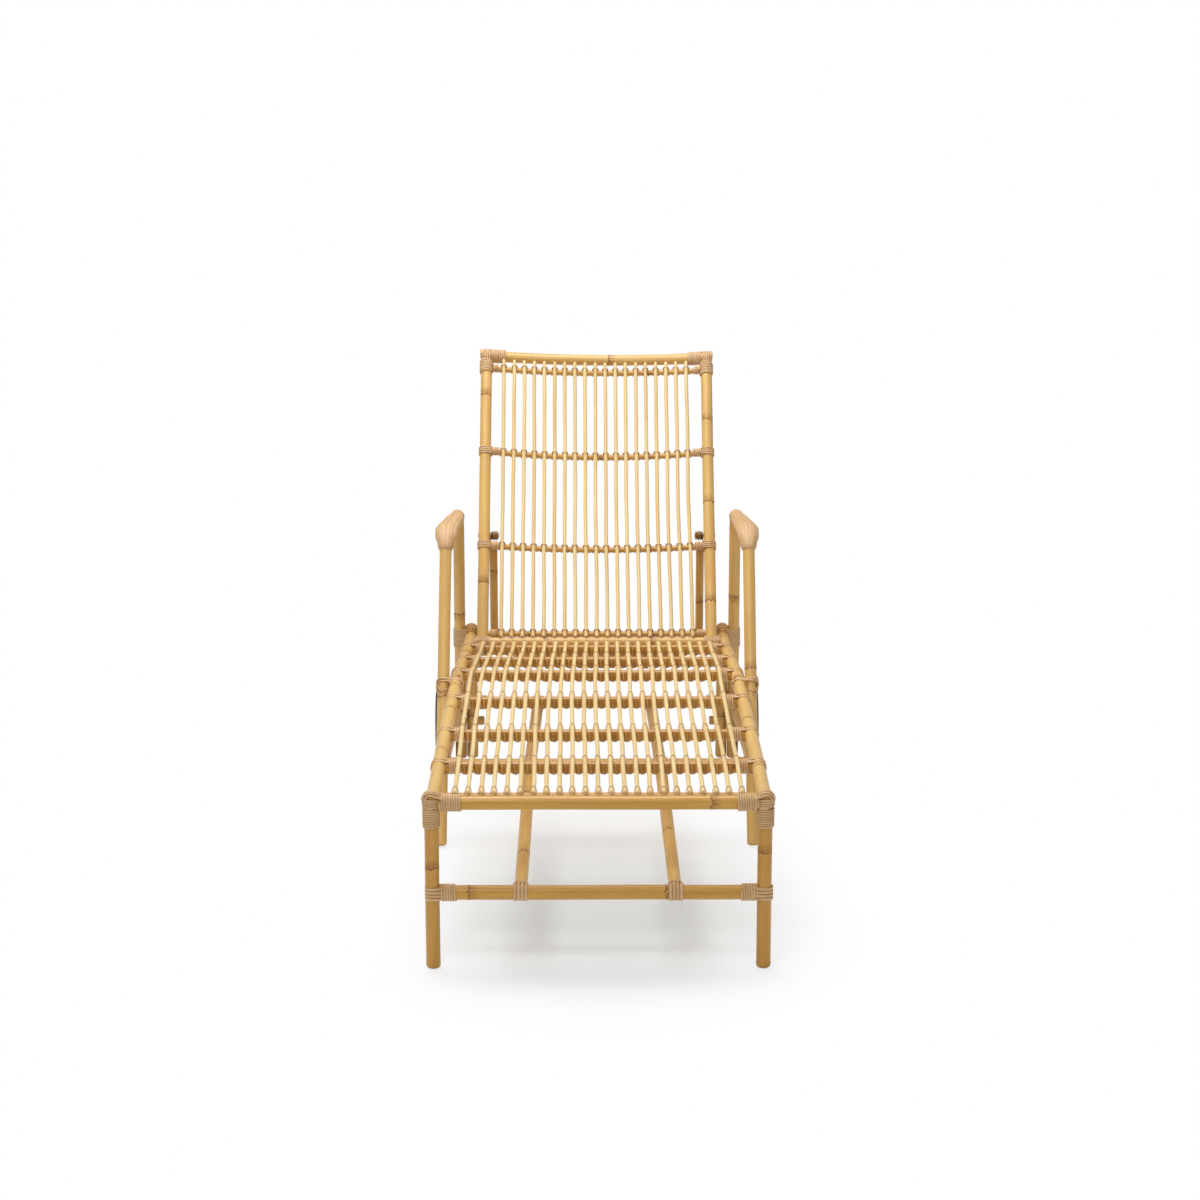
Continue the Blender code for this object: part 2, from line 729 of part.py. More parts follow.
def make_lashings(peel):
    for side, sign in (("left", -1), ("right", 1)):
        inward = Vector((-sign, 0, 0))
        reach = rail_x_front - pole_r - strip_d / 2 - running_gap
        lashing(f"corner_rail_lashing_{side}", bed_point(sign * reach, 0, rail_height),
                inward, (0, -1, 0), pole_r, corner_rail_turns, peel)
        top = rail_height - pole_r - strip_d * 1.5 - running_gap
        lashing(f"corner_leg_lashing_{side}", bed_point(sign * leg_x, 0, top),
                (0, 0, -1), (0, -1, 0), pole_r, corner_leg_turns, peel)
        reach = leg_x - pole_r - strip_d / 2 - running_gap
        lashing(f"stretcher_lashing_{side}",
                bed_point(sign * reach, 0, front_stretcher_height),
                inward, (0, -1, 0), pole_r, stretcher_turns, peel)
        make_arm_tie(side, sign, peel)
        make_post_pair_lashing(side, sign, peel)
        start_x = upright_x - pole_r - strip_d / 2 - running_gap
        slope = (bow_at(start_x - strip_pitch * back_pole_turns, back_length)
                 - bow_at(start_x, back_length)) / (strip_pitch * back_pole_turns)
        along = Vector((-sign, 0, 0)) - back_out * slope
        start = back_point(sign * start_x, back_length, -bow_at(start_x, back_length))
        lashing(f"back_pole_lashing_{side}", start, along,
                back_along, pole_r + bow_slack, back_pole_turns, peel)


def paired_winding(name, centre, across, tilt, half_gap, poles, pitch, turns, slack,
                   peel):
    """A strip wound round two poles that lie side by side, or cross, along across.

    poles holds the direction of the inner pole and of the outer one. The loops lie in
    the plane of across and tilt, so each pole shows them an oval.
    """
    normal = across.cross(tilt).normalized()
    radius = (pole_r + strip_d / 2 + slack) / math.cos(math.pi / loop_points)
    points = []
    count = turns * loop_points
    for step in range(count + 1):
        angle = math.tau * step / loop_points
        shift = (step / loop_points - turns / 2) * pitch
        share = max(-1.0, min(1.0, math.cos(angle) * 3))
        pole_axis = poles[1] if share > 0 else poles[0]
        slide = shift * pole_axis.dot(tilt) / pole_axis.dot(normal) * abs(share)
        stretch = 1 / abs(pole_axis.dot(normal))
        points.append(centre + normal * shift
                      + across * (half_gap * share + radius * math.cos(angle))
                      + tilt * (radius * stretch * math.sin(angle) + slide))
    print(name, "least gap between turns",
          round(self_gap(points, loop_points, strip_d) * 1000, 2), "mm")
    pole(name, points, strip_d, peel, bevel=strip_bevel_count)


def make_arm_tie(side, sign, peel):
    """The tie where the arm hoop's raked front post crosses the side rail."""
    height = rail_z(arm_post_y(rail_height))
    distance = arm_post_y(height)
    centre = bed_point(sign * (rail_x_front + mid_post_x) / 2, distance, height)
    post = Vector((0, arm_post_rake, 1)).normalized()
    rail = Vector((0, rail_length, -rail_drop)).normalized()
    tilt = (post - rail).normalized()
    across = Vector((sign, 0, 0))
    paired_winding(f"arm_tie_{side}", centre, across, tilt,
                   (mid_post_x - rail_x_front) / 2, (rail, post),
                   strip_pitch * 1.2, arm_tie_turns, tie_slack, peel)


def make_post_pair_lashing(side, sign, peel):
    """The strip that binds the rear leg to the arm hoop's rear post."""
    top = rear_rail_height - pole_r - strip_d / 2 - running_gap
    height = top - strip_pitch * post_pair_turns / 2 - strip_d / 2
    centre = bed_point(sign * (rear_leg_x + rear_post_x) / 2, rear_post_distance, height)
    upright = Vector((0, 0, 1))
    paired_winding(f"post_pair_lashing_{side}", centre, Vector((sign, 0, 0)),
                   Vector((0, 1, 0)), (rear_post_x - rear_leg_x) / 2,
                   (upright, upright), strip_pitch, post_pair_turns, pair_slack, peel)


def hang_on(axis_name, point, prefixes, carrier=None):
    """Parent the named pieces to an empty on their joint's axis, where they are."""
    pivot = bpy.data.objects.new(axis_name, None)
    bpy.context.scene.collection.objects.link(pivot)
    pivot.location = point
    if carrier:
        pivot.parent = carrier
        pivot.location = point - carrier.location
    for item in bpy.data.objects:
        if item.type != "EMPTY" and item.name.startswith(prefixes):
            item.parent = pivot
            item.location = -point
    return pivot


def hang_moving_pieces():
    back = hang_on("backrest_hinge_axis", hinge_point, ("back_", "prop_bolt"))
    hang_on("prop_hinge_axis", back_point(0, prop_pivot_distance),
            ("prop_frame",), back)
    for side in ("left", "right"):
        centre = bed_point(0, rear_post_distance, axle_height)
        hang_on(f"wheel_{side}_axis", centre, (f"tyre_{side}", f"wheel_hub_{side}"))


def main():
    clear_scene()
    cane = make_material("rattan_pole", (0.62, 0.40, 0.17), 0.42)
    slat_cane = make_material("rattan_slat", (0.80, 0.62, 0.36), 0.45)
    peel = make_material("rattan_peel", (0.66, 0.47, 0.28), 0.62)
    knob_wood = make_material("knob_wood", (0.42, 0.25, 0.10), 0.5)
    rubber = make_material("tyre_rubber", (0.02, 0.02, 0.02), 0.8)
    plastic = make_material("hub_plastic", (0.04, 0.04, 0.04), 0.5)
    make_legs(cane)
    make_rails(cane)
    make_arms(cane)
    make_lower_frame(cane)
    make_seat(cane, slat_cane)
    make_back(cane, slat_cane)
    make_prop(cane, knob_wood)
    make_wheels(cane, rubber, plastic)
    make_lashings(peel)
    hang_moving_pieces()


main()
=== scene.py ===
# %% [markdown]
# # A rattan sunbed, dressed for its portrait
# The bed is made of cane poles that are butted and lashed together, with thin slats
# tied across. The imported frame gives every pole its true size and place. Here each
# pole is redrawn finer, with the nodes, fibres and stains of real cane, and every
# joint gets the peel strips that a weaver winds round it.

# %% Load the frame
import math

import bmesh
import bpy
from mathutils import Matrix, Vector, noise


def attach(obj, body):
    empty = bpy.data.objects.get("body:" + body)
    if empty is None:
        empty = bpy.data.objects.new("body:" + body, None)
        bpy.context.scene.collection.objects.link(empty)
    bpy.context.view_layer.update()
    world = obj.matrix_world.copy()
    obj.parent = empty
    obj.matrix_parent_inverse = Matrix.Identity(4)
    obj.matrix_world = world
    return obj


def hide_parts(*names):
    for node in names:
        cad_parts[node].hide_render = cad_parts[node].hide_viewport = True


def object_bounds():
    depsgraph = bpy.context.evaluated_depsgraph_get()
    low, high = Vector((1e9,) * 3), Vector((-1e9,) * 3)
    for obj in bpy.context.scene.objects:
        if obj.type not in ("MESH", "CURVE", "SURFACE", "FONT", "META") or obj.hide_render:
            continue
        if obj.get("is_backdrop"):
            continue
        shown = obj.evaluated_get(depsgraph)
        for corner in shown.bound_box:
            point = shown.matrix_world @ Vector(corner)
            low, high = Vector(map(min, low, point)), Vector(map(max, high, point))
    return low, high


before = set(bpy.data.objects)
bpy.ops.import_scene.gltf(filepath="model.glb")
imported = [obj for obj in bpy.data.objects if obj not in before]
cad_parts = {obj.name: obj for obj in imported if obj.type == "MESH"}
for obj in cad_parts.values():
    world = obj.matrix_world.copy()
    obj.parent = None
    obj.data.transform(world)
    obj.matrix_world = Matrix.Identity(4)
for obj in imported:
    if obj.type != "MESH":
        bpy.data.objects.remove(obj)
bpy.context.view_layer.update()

# %% [markdown]
# ## The sizes that the cane follows
# The same few numbers place every pole: distances run from the foot legs towards the
# head, and the back has its own measure along the slope from its hinge.

# %% Sizes of the frame
foot_y = -0.889832
pole_r = 0.014
leg_x = 0.330
leg_top = 0.366
dome_z = leg_top - pole_r
foot_cap = 0.0125
rail_end = 1.3857
rear_post = 1.400
mid_post_x = 0.3541
mid_z = 0.169
rear_z = 0.155
post_rake = 0.562
rear_post_x = 0.3391
rear_leg_x = 0.3105
rear_leg_top = 0.355
rear_rail_z = 0.3043
slat_r = 0.0045
seat_count, back_count = 23, 19
seat_rails = (0.040, 0.2495, 0.4950, 0.7700, 1.0118, 1.1400, 1.2600)
cross_r = 0.0122


def rail_z(distance):
    return 0.347 - 0.020 * distance / rail_end


def bed(x, distance, z):
    return Vector((x, foot_y + distance, z))


def span(half, distance, z):
    """The two ends of a pole that lies across the bed."""
    return [bed(-half, distance, z), bed(half, distance, z)]


def level(value, table):
    """Read a smooth value from a table of (place, value) pairs."""
    for (low, first), (high, second) in zip(table, table[1:]):
        if value <= high:
            return first + (second - first) * ease((value - low) / (high - low))
    return table[-1][1]


def ease(share):
    """Go from 0 to 1 gently."""
    share = max(0.0, min(1.0, share))
    return share * share * (3 - 2 * share)


def rail_x(distance):
    """Half the distance between the side rails, which draw in towards the head."""
    return level(distance, ((0.0, 0.3290), (0.30, 0.3295), (0.95, 0.3265),
                            (rail_end, 0.3105)))


def post_y(height):
    """Distance of the raked front post of an arm at a height."""
    return 0.731 + post_rake * height


# %% Sizes of the back
recline = math.radians(35)
hinge = bed(0, 1.300, 0.3345)
slope = Vector((0, math.sin(recline), math.cos(recline)))
facing = Vector((0, -math.cos(recline), math.sin(recline)))
upright_x = 0.279
back_length = 0.7763
back_rails = (0.0235, 0.2558, 0.5106, 0.7410)
thin_r = 0.007
across = Vector((1, 0, 0))
upward = Vector((0, 0, 1))
headward = Vector((0, 1, 0))
sides = (("left", -1), ("right", 1))


def bow(x, along):
    """The back is dished: its rails bow backwards, most of all halfway up."""
    across_share = max(0.0, 1 - (x / upright_x) ** 2)
    return 0.034 * across_share * max(0.0, 1 - ((along - 0.47) / 0.47) ** 2)


def back(x, along, out=0.0):
    """A place on the back. Its right side is a few millimetres shorter."""
    return hinge + Vector((x, 0, 0)) + slope * along * (1 - 0.0142 * x) + facing * out


print("the back's top corner is", round(back(0, back_length).z, 3), "m up")

# %% [markdown]
# ## Noise with a seed
# Real cane is never quite straight or round. Smooth noise, read at a place that
# depends on the pole's own number, gives the same small wander on every run.

# %% Small natural wander, and arcs


def wander(distance, seed, scale=6.0):
    return noise.noise(Vector((distance * scale, seed * 7.31, seed * 1.77)))


def arc_points(centre, radius, start, end, steps):
    """Points of an arc in a plane, as pairs."""
    return [(centre[0] + radius * math.cos(start + (end - start) * k / steps),
             centre[1] + radius * math.sin(start + (end - start) * k / steps))
            for k in range(steps + 1)]


# %% [markdown]
# ## One tube for every cane
# A pole, a slat and a peel strip are all a cross-section carried along a path. A
# bmesh grid has one row for each step and one column for each corner, so it can be
# rolled up: every vertex moves to its corner of its step, and the two meeting edges
# are merged. A spin could only make straight or circular poles, and a bevelled curve
# turns flat strips about their path as it pleases. The roll keeps them flat on the
# pole. Each vertex also remembers where it lies in the cane, for the fibres, and
# how far it is from the nearest node. no_node stands for "too far to matter".

# %% Roll a grid into a tube
full_turn = math.tau
no_node = 0.05
weld = 0.000001


def new_work():
    work = bmesh.new()
    work.verts.layers.float_vector.new("grain")
    work.verts.layers.float.new("node_gap")
    work.verts.layers.float.new("tone")
    return work


def roll(work, stations, section, tone=0.0, offset=0.0, edge=0.0):
    """Lay one tube: stations are (centre, side, up, scale, distance, node gap)."""
    grain = work.verts.layers.float_vector["grain"]
    gap = work.verts.layers.float["node_gap"]
    shade = work.verts.layers.float["tone"]
    steps, corners = len(stations) - 1, len(section)
    widest = max(abs(a) for a, _ in section)
    made = bmesh.ops.create_grid(work, x_segments=steps, y_segments=corners, size=1.0)
    merged = []
    for vert in made["verts"]:
        step = round((vert.co.x + 1) / 2 * steps)
        corner = round((vert.co.y + 1) / 2 * corners)
        if corner in (0, corners) or step in (0, steps):
            merged.append(vert)
        centre, side, up, scale, distance, node = stations[step]
        a, b = section[corner % corners]
        vert.co = centre + side * (a * scale) + up * (b * scale)
        vert[grain] = (a * scale + offset, b * scale, distance)
        vert[gap] = node
        # edge adds painted shade towards both sides of the section, where the turns of a
        # strip meet.
        vert[shade] = tone + edge * (abs(a) / widest) ** 3
    bmesh.ops.remove_doubles(work, verts=merged, dist=weld)


# %% Close a piece, and sections for it


def new_mesh(name, work):
    mesh = bpy.data.meshes.new(name)
    work.to_mesh(mesh)
    work.free()
    return mesh


def new_object(name, data):
    made = bpy.data.objects.new(name, data)
    bpy.context.scene.collection.objects.link(made)
    return made


def finish_piece(name, work, material, body, replaced=(), sharp=50):
    """Close the tubes, turn the faces outwards and hang the piece on its body."""
    rims = [edge for edge in work.edges if edge.is_boundary]
    bmesh.ops.holes_fill(work, edges=rims, sides=0)
    bmesh.ops.recalc_face_normals(work, faces=work.faces)
    mesh = new_mesh(name, work)
    mesh.shade_smooth()
    mesh.set_sharp_from_angle(angle=math.radians(sharp))
    mesh.materials.append(material)
    piece = new_object(name, mesh)
    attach(piece, body)
    if replaced:
        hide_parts(*replaced)
    return piece


def circle_section(corners):
    return [(math.cos(full_turn * k / corners), math.sin(full_turn * k / corners))
            for k in range(corners)]


# %% Turned shapes


def lathe(work, centre, axis, profile, corners, tone=0.0):
    """Turn a profile of (place along the axis, radius) points."""
    side = axis.cross(Vector((0, 0.6, 0.8))).normalized()
    stations = [(centre + axis * along, side, axis.cross(side), radius, along, no_node)
                for along, radius in profile]
    roll(work, stations, circle_section(corners), tone=tone)


def turned(name, centre, axis, profile, corners, material, body, replaced=(),
           sharp=50, tone=0.0):
    """A piece that is a single turned shape."""
    work = new_work()
    lathe(work, centre, axis, profile, corners, tone)
    return finish_piece(name, work, material, body, replaced, sharp)


# %% Walk along a path


def walk(points, spacing, extra=()):
    """Points at even steps along a path, and at extra distances."""
    lengths = [0.0]
    for first, second in zip(points, points[1:]):
        lengths.append(lengths[-1] + (second - first).length)
    total = lengths[-1]
    count = max(2, round(total / spacing))
    stops = sorted({round(total * k / count, 6) for k in range(count + 1)}
                   | {round(stop, 6) for stop in extra if 0 < stop < total})
    walked = []
    index = 0
    for stop in stops:
        while index < len(points) - 2 and lengths[index + 1] < stop:
            index += 1
        share = (stop - lengths[index]) / (lengths[index + 1] - lengths[index])
        walked.append((stop, points[index].lerp(points[index + 1], share)))
    return walked, total


def directions(places):
    """The direction of a path at each of its points."""
    last = len(places) - 1
    return [(places[min(k + 1, last)] - places[max(k - 1, 0)]).normalized()
            for k in range(last + 1)]


# %% [markdown]
# ## What cane looks like
# Cane skin is pale straw to honey brown, with hair-fine fibres along it, soft long
# blotches, a few brown stains, and a dark ragged line at each node. All of these read
# the place in the cane that each vertex remembers, so they follow a bent pole too.
# One node group makes them, and poles, slats and peel strips use it with their own
# colours. The foot end's poles and the seat's cross rails are a deeper gold than the
# uprights and the arms, and the strips under the seat are darker than those on top:
# both are painted shade, for the front faces that the light overhead misses and for
# the parts under the slats.

# %% A small helper for shader nodes


class Tree:
    """Adds nodes to a shader tree and links their sockets."""

    def __init__(self, tree):
        self.tree = tree
        self.count = 0

    def add(self, kind, **inputs):
        made = self.tree.nodes.new(kind)
        self.count += 1
        made.location = (self.count % 8 * 200, -(self.count // 8) * 260)
        for name, value in inputs.items():
            self.put(made, name, value)
        return made

    def put(self, made, name, value):
        socket = made.inputs[int(name[1:])] if name[0] == "i" and name[1:].isdigit() \
            else made.inputs[name.replace("_", " ")]
        if isinstance(value, bpy.types.NodeSocket):
            self.tree.links.new(value, socket)
        else:
            socket.default_value = value

    def place_group(self, group):
        made = self.add("ShaderNodeGroup")
        made.node_tree = group
        return made

    def times(self, first, second):
        return self.math("MULTIPLY", first, second)

    def scaled(self, value, factor, more=0.0, clamp=False):
        return self.math("MULTIPLY_ADD", value, factor, more, clamp)

    def math(self, operation, first, second=0.0, third=0.0, clamp=False):
        made = self.add("ShaderNodeMath", i0=first, i1=second, i2=third)
        made.operation = operation
        made.use_clamp = clamp
        return made.outputs[0]

    def noise(self, vector, scale, detail=2.0, roughness=0.5):
        made = self.add("ShaderNodeTexNoise", Vector=vector, Scale=scale, Detail=detail,
                        Roughness=roughness)
        return made.outputs["Fac"]

    def stretch(self, vector, factors):
        made = self.add("ShaderNodeVectorMath", i0=vector, i1=factors)
        made.operation = "MULTIPLY"
        return made.outputs[0]

    def band(self, value, low, high, out_low=0.0, out_high=1.0):
        made = self.add("ShaderNodeMapRange", Value=value, From_Min=low, From_Max=high,
                        To_Min=out_low, To_Max=out_high)
        made.interpolation_type = "SMOOTHSTEP"
        return made.outputs[0]

    def bump(self, shader, height, strength, depth):
        made = self.add("ShaderNodeBump", Height=height, Strength=strength,
                        Distance=depth)
        self.put(shader, "Normal", made.outputs["Normal"])

    def mix(self, share, first, second):
        made = self.add("ShaderNodeMix")
        made.data_type = "RGBA"
        self.put(made, "i0", share)
        self.put(made, "i6", first)
        self.put(made, "i7", second)
        return made.outputs[2]


def new_material(name):
    """A material, a helper for its tree, and its shader."""
    made = bpy.data.materials.new(name)
    made.use_nodes = True
    return made, Tree(made.node_tree), made.node_tree.nodes["Principled BSDF"]


def new_group(name, **inputs):
    """A node group with these inputs that puts out colour, roughness and height."""
    group = bpy.data.node_groups.new(name, "ShaderNodeTree")
    outputs = {"Color": "Color", "Roughness": "Float", "Height": "Float"}
    for way, sockets in (("INPUT", inputs), ("OUTPUT", outputs)):
        for socket, kind in sockets.items():
            group.interface.new_socket(name=socket.replace("_", " "), in_out=way,
                                       socket_type="NodeSocket" + kind)
    tree = Tree(group)
    return group, tree, tree.add("NodeGroupInput").outputs


# %% The cane skin group


def make_skin_group():
    group, tree, given = new_group(
        "cane_skin", Grain="Vector", Node_Gap="Float", Tone="Float", Light="Color",
        Deep="Color", Scar="Color", Fibres="Float", Stains="Float")

    def along_grain(factors, detail=2.0, roughness=0.5):
        return tree.noise(tree.stretch(given["Grain"], factors), 1.0, detail, roughness)

    blotch = along_grain((70, 70, 7), 3.0, 0.6)
    fibre = along_grain((900, 900, 22))
    vein = along_grain((260, 260, 5))
    stain = tree.band(along_grain((150, 150, 34), 4.0, 0.65), 0.60, 0.78)
    share = tree.scaled(blotch, 1.3, -0.35)
    share = tree.math("ADD", share, given["Tone"])
    fine = tree.scaled(fibre, 1.2, -0.6)
    share = tree.scaled(fine, given["Fibres"], share)
    long = tree.scaled(vein, 1.0, -0.5)
    share = tree.scaled(long, given["Fibres"], share, clamp=True)
    colour = tree.mix(share, given["Light"], given["Deep"])
    colour = tree.mix(tree.times(stain, given["Stains"]), colour, given["Scar"])
    ragged = along_grain((230, 230, 0), 4.0, 0.65)
    gap = tree.scaled(ragged, 0.026, given["Node Gap"])
    gap = tree.math("SUBTRACT", gap, 0.013)
    away = tree.math("ABSOLUTE", gap)
    faint = tree.band(along_grain((160, 160, 30)), 0.28, 0.50, 0.45, 1.0)
    line = tree.band(away, 0.0007, 0.0018, 1.0, 0.0)
    below = tree.times(gap, -1.0)
    rim = tree.times(tree.band(below, 0.0006, 0.0012),
                     tree.band(below, 0.0022, 0.0060, 1.0, 0.0))
    streak = along_grain((240, 240, 40), 3.0, 0.6)
    scorch = tree.times(tree.band(gap, 0.0, 0.0010),
                        tree.band(gap, 0.004, 0.024, 1.0, 0.0))
    scorch = tree.times(scorch, tree.band(streak, 0.36, 0.62, 0.15, 0.75))
    colour = tree.mix(scorch, colour, given["Scar"])
    colour = tree.mix(tree.times(rim, 0.6), colour, given["Light"])
    colour = tree.mix(tree.times(line, faint), colour, (0.13, 0.035, 0.004, 1))
    rough = tree.scaled(fibre, 0.22, 0.28)
    rough = tree.scaled(line, 0.3, rough, clamp=True)
    height = tree.scaled(fibre, 0.25)
    height = tree.scaled(vein, 0.35, height)
    height = tree.scaled(rim, 0.6, height)
    height = tree.scaled(line, -2.2, height)
    tree.add("NodeGroupOutput", Color=colour, Roughness=rough, Height=height)
    return group


skin_group = make_skin_group()

# %% Materials that use it


def skin_material(name, light, deep, scar, fibres, stains, bump, coat, rough=0.0):
    made, tree, shader = new_material(name)
    skin = tree.place_group(skin_group)
    for socket, attribute, output in (("Grain", "grain", "Vector"),
                                      ("Node Gap", "node_gap", "Fac"),
                                      ("Tone", "tone", "Fac")):
        read = tree.add("ShaderNodeAttribute")
        read.attribute_name = attribute
        tree.put(skin, socket, read.outputs[output])
    for socket, value in (("Light", (*light, 1)), ("Deep", (*deep, 1)),
                          ("Scar", (*scar, 1)), ("Fibres", fibres), ("Stains", stains)):
        tree.put(skin, socket, value)
    tree.bump(shader, skin.outputs["Height"], bump, 0.0006)
    tree.put(shader, "Base Color", skin.outputs["Color"])
    rougher = tree.math("ADD", skin.outputs["Roughness"], rough, clamp=True)
    tree.put(shader, "Roughness", rougher)
    tree.put(shader, "Coat Weight", coat)
    tree.put(shader, "Coat Roughness", 0.28)
    made.diffuse_color = (*light, 1)
    return made


# %% The colours of cane, core and peel
# Painted shade: the foot end's poles and the seat rails get this deeper, darker copy of
# the cane colour.
painted_shade_cane = skin_material("painted_shade_cane_poles", (0.70, 0.385, 0.065), (0.50, 0.225, 0.024),
                       (0.30, 0.10, 0.010), 0.30, 0.40, 0.30, 0.18)
# Painted shade: a darker copy of the peel colour for the strips that swing round under the
# seat rails.
shaded_peel = skin_material("shaded_peel_strips", (0.82, 0.47, 0.095),
                            (0.36, 0.15, 0.014), (0.20, 0.07, 0.01), 0.6, 0.2, 0.5,
                            0.03, 0.12)
cane = skin_material("cane_poles", (0.77, 0.49, 0.155), (0.55, 0.285, 0.055),
                     (0.34, 0.115, 0.012), 0.30, 0.35, 0.30, 0.22)
core_cane = skin_material("core_cane_slats", (0.90, 0.70, 0.35), (0.74, 0.48, 0.17),
                          (0.36, 0.16, 0.035), 0.35, 0.10, 0.30, 0.15)
peel = skin_material("peel_strips", (0.76, 0.52, 0.29), (0.55, 0.31, 0.12),
                     (0.30, 0.13, 0.04), 0.60, 0.10, 0.5, 0.03, 0.15)
stained = skin_material("stained_wood", (0.40, 0.19, 0.055), (0.22, 0.085, 0.018),
                        (0.10, 0.03, 0.006), 0.6, 0.3, 0.4, 0.3)

# %% [markdown]
# ## What rubber and plastic look like
# Tyres and hubs come out of a mould: one dark colour with a fine, even grain, and dust
# that settles in soft patches. Two plain colours would look like new toys, so a second
# node group lays the dust and the grain over each material's own colour.

# %% The moulded skin group


def make_mould_group():
    group, tree, given = new_group("moulded_skin", Place="Vector", Clean="Color",
                                   Dusty="Color", Polish="Float", Grain_Size="Float")
    patches = tree.noise(given["Place"], 38.0, 4.0, 0.6)
    dust = tree.band(patches, 0.45, 0.75, 0.0, 0.5)
    fine = tree.noise(given["Place"], given["Grain Size"], 2.0)
    tree.add("NodeGroupOutput", Color=tree.mix(dust, given["Clean"], given["Dusty"]),
             Roughness=tree.scaled(fine, 0.2, given["Polish"]), Height=fine)
    return group


mould_group = make_mould_group()

# %% Rubber and plastic


def moulded(name, colour, rough, grain_size, bump):
    """One colour, dusty in places, with a fine moulded grain."""
    made, tree, shader = new_material(name)
    skin = tree.place_group(mould_group)
    pale = tuple(value * 2.2 + 0.02 for value in colour)
    place = tree.add("ShaderNodeTexCoord").outputs["Object"]
    for socket, value in (("Place", place), ("Clean", (*colour, 1)),
                          ("Dusty", (*pale, 1)), ("Polish", rough),
                          ("Grain Size", grain_size)):
        tree.put(skin, socket, value)
    tree.put(shader, "Base Color", skin.outputs["Color"])
    tree.put(shader, "Roughness", skin.outputs["Roughness"])
    tree.bump(shader, skin.outputs["Height"], bump, 0.0004)
    made.diffuse_color = (*colour, 1)
    return made


rubber = moulded("tyre_rubber", (0.012, 0.012, 0.013), 0.60, 900.0, 0.4)
plastic = moulded("hub_plastic", (0.020, 0.020, 0.022), 0.35, 1400.0, 0.2)
print("materials:", cane.name, core_cane.name, peel.name)

# %% [markdown]
# ## Poles of cane
# A rattan pole is a straight vine. Every 20 to 40 cm it has a node, where a leaf
# sheath left a thin, ragged scar and the pole swells slightly. The pole's ends are
# rounded over. The scar itself is drawn in the material, from each vertex's distance
# to the nearest node, because it is a fraction of a millimetre deep.

# %% Draw a pole
pole_section = circle_section(28)
pole_count = [0]


def cane_stations(points, radius, nodes, seed, end_round, sway, up_hint, widths):
    finish = [end_round * share for share in (0.0, 0.04, 0.15, 0.35, 0.65, 1.0)]
    total = sum((b - a).length for a, b in zip(points, points[1:]))
    halfway = [(a + b) / 2 + shift for a, b in zip(nodes, nodes[1:])
               for shift in (-0.0001, 0.0001)]
    walked, total = walk(points, 0.010,
                         finish + [total - stop for stop in finish] + halfway)
    places = [place for _, place in walked]
    heads = directions(places)
    up = (up_hint - heads[0] * up_hint.dot(heads[0])).normalized()
    stations = []
    for (distance, place), head in zip(walked, heads):
        up = (up - head * up.dot(head)).normalized()
        side = head.cross(up)
        edge = min(distance, total - distance)
        taper = 1.0
        if end_round and edge < end_round:
            curve = math.sqrt(max(0.0, 1 - (1 - edge / end_round) ** 2))
            taper = 1 - (1 - curve) * min(1.0, end_round / radius)
        node = min((distance - stop for stop in nodes), key=abs, default=no_node)
        swell = 1 + 0.022 * math.exp(-(node / 0.005) ** 2)
        swell += 0.010 * wander(distance, seed, 9)
        if widths:
            swell *= widths(distance / total)
        loose = min(1.0, edge / 0.05) * sway
        place = place + side * wander(distance, seed) * loose
        place = place + up * wander(distance, seed + 40) * loose
        stations.append((place, side, up, radius * swell * max(taper, 0.12),
                         distance, max(-no_node, min(no_node, node))))
    return stations


def pole(name, points, radius, nodes, body="frame", replaced=None, tone=0.0,
         end_round=0.0, sway=0.0005, up_hint=upward, widths=None, skin=cane):
    """A cane pole as a piece of its own. nodes are distances along it. It replaces
    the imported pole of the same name, or those in replaced."""
    pole_count[0] += 1
    seed = pole_count[0]
    work = new_work()
    stations = cane_stations(points, radius, nodes, seed, end_round, sway, up_hint,
                             widths)
    roll(work, stations, pole_section, tone=tone, offset=seed * 0.37)
    if replaced is None:
        replaced = (name,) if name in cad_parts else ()
        name += "_cane"
    return finish_piece(name, work, skin, body, replaced)


# %% [markdown]
# ## Peel strips
# The bindings are cut from the vine's skin: strips about 5 mm wide with a round back,
# wound damp so that they dry tight, with a dark groove between the turns. A strip is
# the same roll with a section whose back always faces away from the pole it lies on.
# Both its ends dive under the pole's surface, as a weaver tucks them in.

# %% Draw a strip
strip_w, strip_t = 0.0047, 0.0034
close_pitch = 0.0048
turn_steps = 26


def flat_section(width=strip_w, thickness=strip_t, corners=8):
    points = []
    for k in range(corners):
        angle = full_turn * (k + 0.5) / corners
        x, y = math.cos(angle), math.sin(angle)
        points.append((x * width / 2, y * thickness / 2))
    return points


# %% Lay a strip
strip_section = flat_section()
small_section = flat_section(0.0040, 0.0019, 6)
wide_section = flat_section(0.0068, 0.0028, 8)
strip_count = [0]


def strip(work, places, ups, section=strip_section, tone=0.0, edge=0.75):
    """Lay a strip through places, with its back facing the given directions.
    edge darkens both its edges with painted shade, where the turns meet."""
    strip_count[0] += 1
    seed = strip_count[0]
    heads = directions(places)
    stations = []
    distance = 0.0
    for k, (place, up, head) in enumerate(zip(places, ups, heads)):
        if k:
            distance += (place - places[k - 1]).length
        up = (up - head * up.dot(head)).normalized()
        scale = 0.45 if k in (0, len(places) - 1) else 1.0
        stations.append((place, head.cross(up), up, scale, distance, no_node))
    roll(work, stations, section, tone=tone + 0.22 * wander(seed, 5, 0.73),
         offset=seed * 0.113, edge=edge)


def bound(name, work, body="frame", replaced=(), skin=peel):
    """Close a piece that is made of strips."""
    finish_piece(name, work, skin, body, replaced)


# %% Wind a strip round a pole


